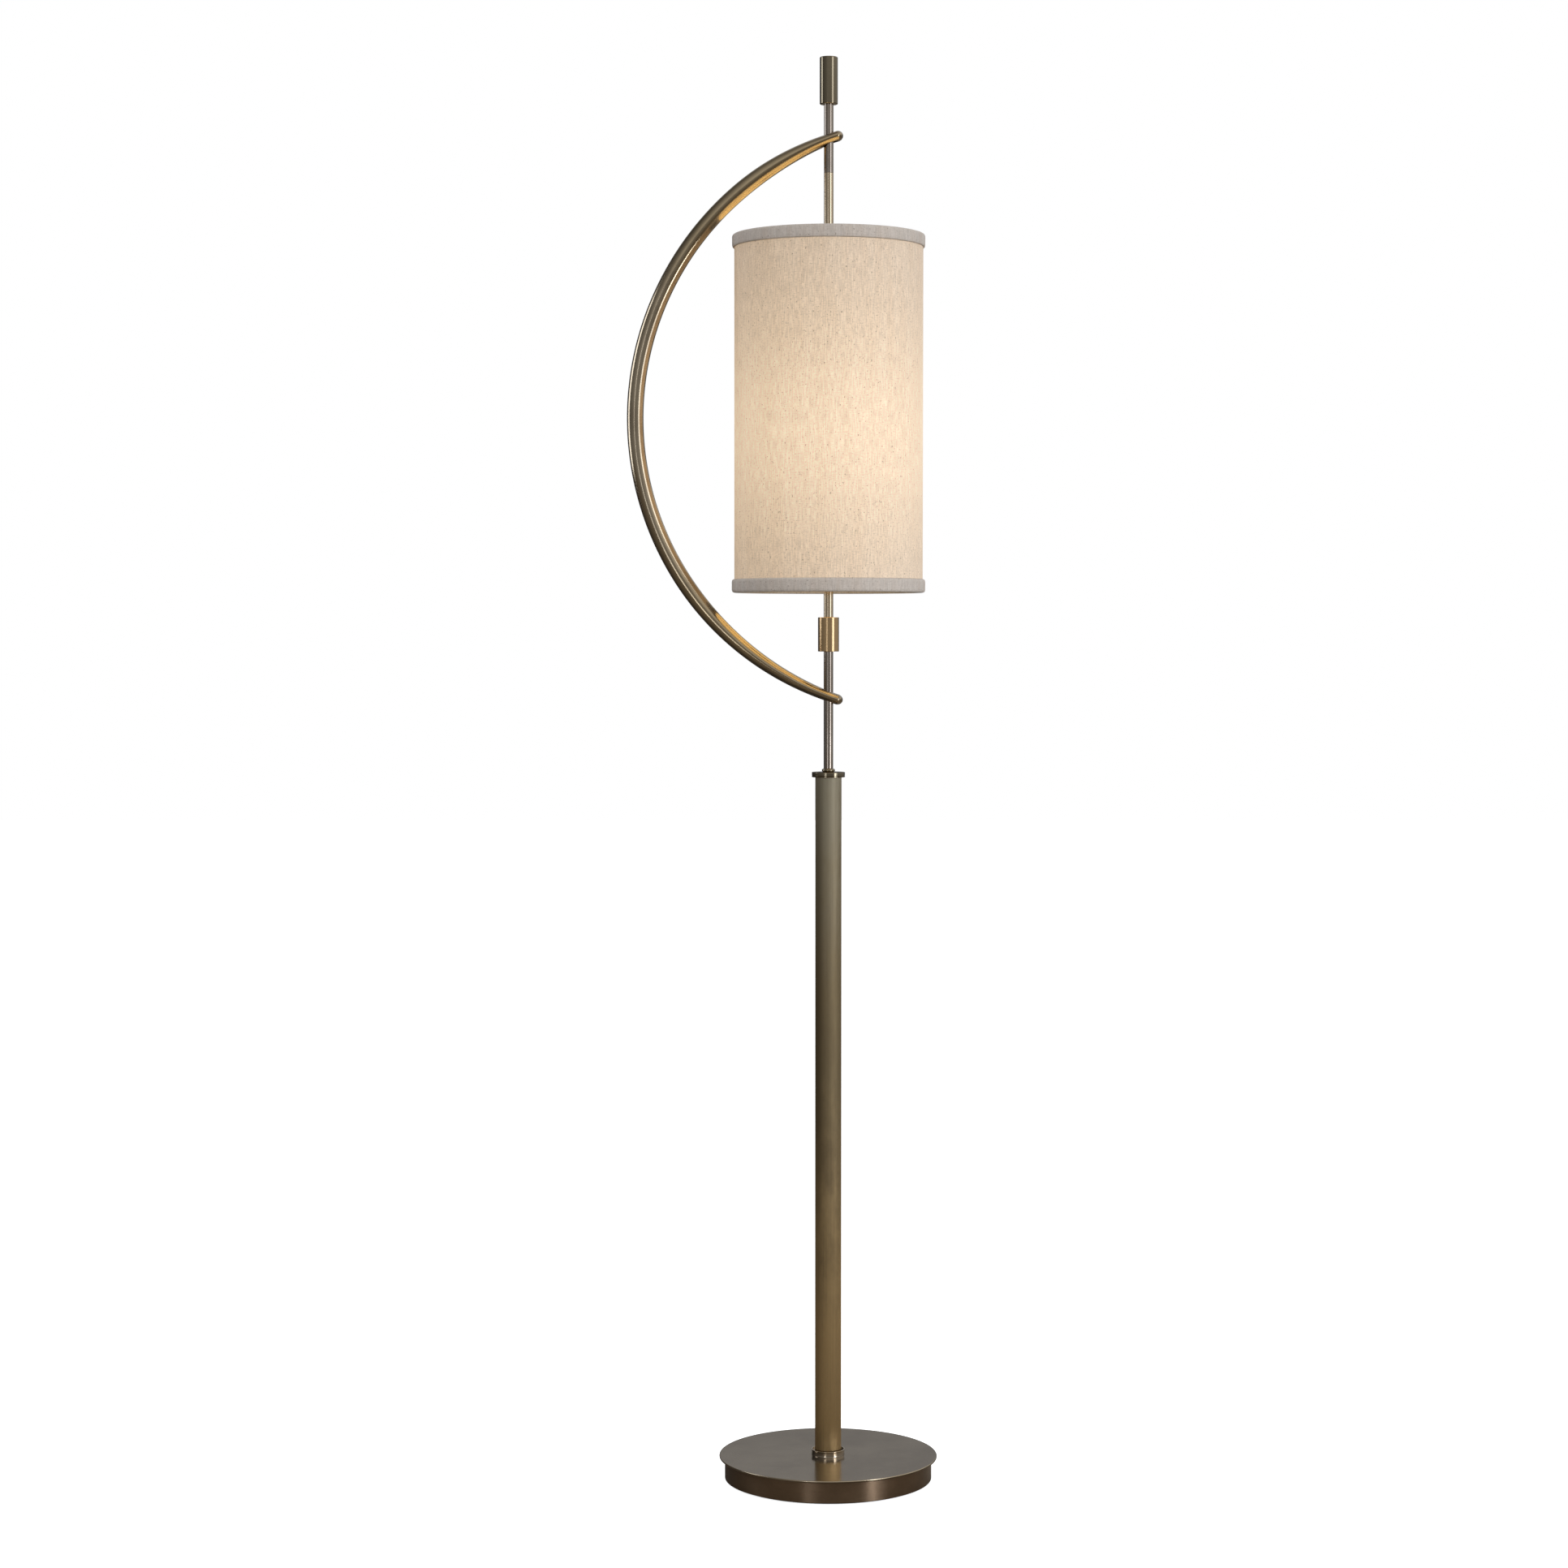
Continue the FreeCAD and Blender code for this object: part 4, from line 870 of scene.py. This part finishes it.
def makeKnob(side):
    low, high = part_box(f"{side}_switch_knob")
    away = -1 if side == "left" else 1
    radius = (high.z - low.z) / 2
    length = high.x - low.x
    stem = switch["stem"]
    neck = length - switch["grip"]
    curve = switch["endRound"]
    outline = [(0, 0), (stem, 0), (stem, neck), (radius * switch["shoulder"], neck),
               (radius, neck + switch["slope"]), (radius, length - curve)]
    outline += arc(radius - curve, length - curve, curve, curve, 0, 90, 5)[1:] + [(0, length)]
    knob = turned(outline, 96)
    for vertex in knob.verts:
        reach = math.hypot(vertex.co.x, vertex.co.y)
        if reach > radius * 0.9:
            wave = 0.5 + 0.5 * math.cos(switch["flutes"] * math.atan2(vertex.co.y, vertex.co.x))
            vertex.co.x *= 1 - switch["fluteDepth"] * wave / reach
            vertex.co.y *= 1 - switch["fluteDepth"] * wave / reach
    start = low.x if away > 0 else high.x
    place = Matrix.Translation((start, 0, (low.z + high.z) / 2))
    place = place @ Matrix.Rotation(away * math.pi / 2, 4, "Y")
    bmesh.ops.transform(knob, matrix=place, verts=knob.verts)
    placed(f"{side}SwitchKnob", knob, otherFinishes["black_plastic"], f"{side}_switch",
           [f"{side}_switch_knob"])


bulb = {"foot": 4.0 * millimetre, "collar": 3 * millimetre, "contact": 3.5 * millimetre,
        "contactRise": 0.5 * millimetre, "insulator": 0.55, "insulatorDrop": 2 * millimetre,
        "pitch": 3.63 * millimetre, "threadDepth": 0.8 * millimetre, "threadShare": 0.3,
        "rimIn": 0.3 * millimetre, "rimDrop": 0.5 * millimetre, "rimTop": 0.6 * millimetre,
        "glassIn": 0.5 * millimetre, "glassLip": 0.8 * millimetre, "neck": 5 * millimetre,
        "flare": 2.5 * millimetre, "flareHeight": 14 * millimetre, "steps": 72}


def makeBulb(side):
    radius, bottom, top, middle = extent(f"{side}_bulb_base")
    pitch = bulb["pitch"]
    foot = bottom + bulb["foot"]
    root = radius - bulb["threadDepth"]
    turns = int((top - bulb["collar"] - foot) / pitch)
    outline = [(0, bottom), (bulb["contact"], bottom + bulb["contactRise"]),
               (radius * bulb["insulator"], foot - bulb["insulatorDrop"]), (root, foot)]
    for turn in range(turns):
        crest = foot + pitch * (turn + 0.5)
        outline += arc(root, crest, bulb["threadDepth"], pitch * bulb["threadShare"], -75, 75, 5)
        outline += [(root, crest + pitch * 0.5)]
    outline += [(radius - bulb["rimIn"], top - bulb["rimDrop"]), (radius - bulb["rimTop"], top)]
    thread = turned(outline + [(0, top)], bulb["steps"])
    placed(f"{side}BulbBase", shifted(thread, middle), otherFinishes["screw_metal"], "stand",
           [f"{side}_bulb_base"])

    globe, bottom, top, middle = extent(f"{side}_bulb_glass")
    centre = top - globe
    neck = radius - bulb["glassIn"]
    outline = [(neck - bulb["glassLip"], bottom), (neck, bottom), (neck, bottom + bulb["neck"]),
               (neck + bulb["flare"], bottom + bulb["flareHeight"])]
    outline += arc(0, centre, globe, globe, -40, 90, 22)
    glass = turned(outline, bulb["steps"])
    bmesh.ops.remove_doubles(glass, verts=glass.verts, dist=nearlyNothing)
    placed(f"{side}BulbGlass", shifted(glass, middle), makeBulbGlass(centre), "stand",
           [f"{side}_bulb_glass"], even=False)


makeBase()
makeBushing()
makeColumn()
makeRods()
makeBow()
print("base, column, rods and bow made")
makeShade()
makeCluster()
for side in ("left", "right"):
    makeSocket(side)
    makeKnob(side)
    makeBulb(side)
print("shade and lamps made")


# Pieces kept as designed: each takes the finish of its own material slot

def finishKept():
    finishes = {finish.slotName: finish for finish in
                (columnBrass, turnedBrass, lightBrass, socketBrass, *otherFinishes.values())}
    for name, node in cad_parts.items():
        if node.hide_render:
            continue
        slotName = node.data.materials[0].name.split(".")[0] if node.data.materials else "steel"
        finish = finishes.get(slotName, otherFinishes["steel"])
        for entry in node.material_slots:
            entry.material = finish.material


finishKept()


# Stage: pale floor, white surround, five soft panels, a key panel and the bulbs' own light

stage = {
    "floorSize": 14.0,
    "floorDrop": 0.3 * millimetre,  # how far the floor lies under the felt
    "floorGlow": 0.8,
    "floorGrey": tone(0.8, 0.8, 0.8),
    "mirroredDark": tone(0.07, 0.06, 0.05),  # the floor as the lamp's metal reflects it
    "mirroredLight": tone(0.27, 0.235, 0.19),
    "surround": 1.0,
    "fill": 0.67,  # the surround as light on what isn't glossy
    "glossBase": 0.07,  # the surround as the metal reflects it, by direction
    "glossFront": 0.2,
    "glossRight": 0.1,
    "glossSky": 0.46,
}


def makeFloor():
    shape = bmesh.new()
    bmesh.ops.create_grid(shape, x_segments=1, y_segments=1, size=stage["floorSize"],
                          matrix=Matrix.Translation((0, 0, -stage["floorDrop"])))
    mesh = bpy.data.meshes.new("floor")
    shape.to_mesh(mesh)
    shape.free()
    material = bpy.data.materials.new("paleFloor")
    material.use_nodes = True
    nodes = Nodes(material.node_tree)
    nodes.tree.nodes.clear()
    seen = nodes.node("ShaderNodeLightPath", None, None, "Is Camera Ray")
    glow = {"Color": tone(1, 1, 1), "Strength": stage["floorGlow"]}
    white = nodes.node("ShaderNodeEmission", None, glow)
    lit = nodes.node("ShaderNodeBsdfDiffuse", None, {"Color": stage["floorGrey"]})
    bright = nodes.node("ShaderNodeAddShader", None, {0: white, 1: lit})
    x, y, _ = nodes.axes(nodes.node("ShaderNodeTexCoord", None, None, "Object"))
    lightSide = x.arcTangent(y * -1.0).within(-2.3, -0.3)
    mirrored = nodes.mix(lightSide, stage["mirroredDark"], stage["mirroredLight"])
    dim = nodes.node("ShaderNodeBsdfDiffuse", None, {"Color": mirrored})
    surface = nodes.node("ShaderNodeMixShader", None, {0: seen, 1: dim, 2: bright})
    nodes.node("ShaderNodeOutputMaterial", None, {"Surface": surface})
    mesh.materials.append(material)
    floor = bpy.data.objects.new("floor", mesh)
    bpy.context.scene.collection.objects.link(floor)


def makeSurround():
    world = bpy.data.worlds.new("studio")
    world.use_nodes = True
    bpy.context.scene.world = world
    nodes = Nodes(world.node_tree)
    nodes.tree.nodes.clear()
    way = nodes.node("ShaderNodeTexCoord", None, None, "Generated")
    x, y, z = nodes.axes(way)
    bearing = x.arcTangent(y * -1.0)
    front = bearing.within(-2.3, -0.3) * (1 - bearing.within(1.9, 2.9))
    sky = z.within(0.08, 0.32) * x.within(-0.75, -0.05) * (1 - z.within(0.6, 0.95) * 0.5)
    right = bearing.within(0.3, 1.3) * (1 - bearing.within(1.9, 2.9))
    glossy = stage["glossBase"] + front * stage["glossFront"] + right * stage["glossRight"]
    glossy = glossy + sky * stage["glossSky"]
    gloss = nodes.node("ShaderNodeLightPath", None, None, "Is Glossy Ray")
    seen = nodes.node("ShaderNodeLightPath", None, None, "Is Camera Ray")
    light = gloss * glossy + (1 - gloss) * stage["fill"]
    strength = seen * stage["surround"] + (1 - seen) * light
    back = nodes.node("ShaderNodeBackground", None, {"Color": tone(1, 1, 1), "Strength": strength})
    nodes.node("ShaderNodeOutputWorld", None, {"Surface": back})


lights = {
    # bearing in degrees to the right of the front, distance, width, height, middle, radiance
    "panels": {
        "rightPanel": (52, 2.4, 0.8, 2.5, 1.27, 2.1),
        "frontStrip": (-17, 3.2, 0.32, 1.9, 0.97, 1.3),
        "lowRight": (47, 2.0, 0.3, 0.8, 0.41, 6.5),
        "lowLeft": (-23, 2.6, 0.2, 0.8, 0.41, 3.4),
        "sidePanel": (-97, 2.2, 0.8, 1.5, 1.72, 2.6),
    },
    "key": (38, 3.2, 1.4, 1.6, 1.9, 3.75),
    "panelWhite": (0.92, 0.98, 1.08),
    "keyWhite": (1, 1, 1),
    "glowWhite": (1.0, 0.66, 0.34),
    "glowPower": 0.15,
    "glowSize": 0.02,
    "glowRise": 15 * millimetre,  # how far over the bulb
}


def makePanel(name, colour, bearing, distance, width, height, middle, radiance):
    # a soft rectangle of light that faces the lamp
    light = bpy.data.lights.new(name, "AREA")
    light.shape = "RECTANGLE"
    light.size = width
    light.size_y = height
    light.energy = radiance * math.pi * width * height
    light.color = colour
    made = bpy.data.objects.new(name, light)
    turn = math.radians(bearing)
    made.location = (distance * math.sin(turn), -distance * math.cos(turn), middle)
    facing = Vector((0, 0, middle)) - made.location
    made.rotation_mode = "QUATERNION"
    made.rotation_quaternion = facing.to_track_quat("-Z", "Y")
    bpy.context.scene.collection.objects.link(made)
    return made


def makeGlow(name, x, z):
    light = bpy.data.lights.new(name, "POINT")
    light.energy = lights["glowPower"]
    light.color = lights["glowWhite"]
    light.shadow_soft_size = lights["glowSize"]
    made = bpy.data.objects.new(name, light)
    made.location = (x, 0, z)
    made.visible_glossy = False
    bpy.context.scene.collection.objects.link(made)


def makeLights():
    for name, measures in lights["panels"].items():
        makePanel(name, lights["panelWhite"], *measures)
    makePanel("keyPanel", lights["keyWhite"], *lights["key"]).visible_glossy = False
    for side in ("left", "right"):
        _, _, top, middle = extent(f"{side}_bulb_glass")
        makeGlow(f"{side}Glow", middle, top + lights["glowRise"])


# Camera: a metre up, a little to the left, tipped down slightly

camera = {"place": (-0.0523, -3.895, 1.0), "dip": 2.3, "lens": 76.0, "sensor": 36.0,
          "shift": -0.01}


def makeCamera():
    data = bpy.data.cameras.new("camera")
    data.lens = camera["lens"]
    data.sensor_width = camera["sensor"]
    data.shift_y = camera["shift"]
    made = bpy.data.objects.new("camera", data)
    made.location = camera["place"]
    made.rotation_euler = (math.radians(90 - camera["dip"]), 0, 0)
    bpy.context.scene.collection.objects.link(made)
    bpy.context.scene.camera = made
    bpy.context.scene.view_settings.view_transform = "Standard"


makeFloor()
makeSurround()
makeLights()
makeCamera()
print("stage, lights and camera made")
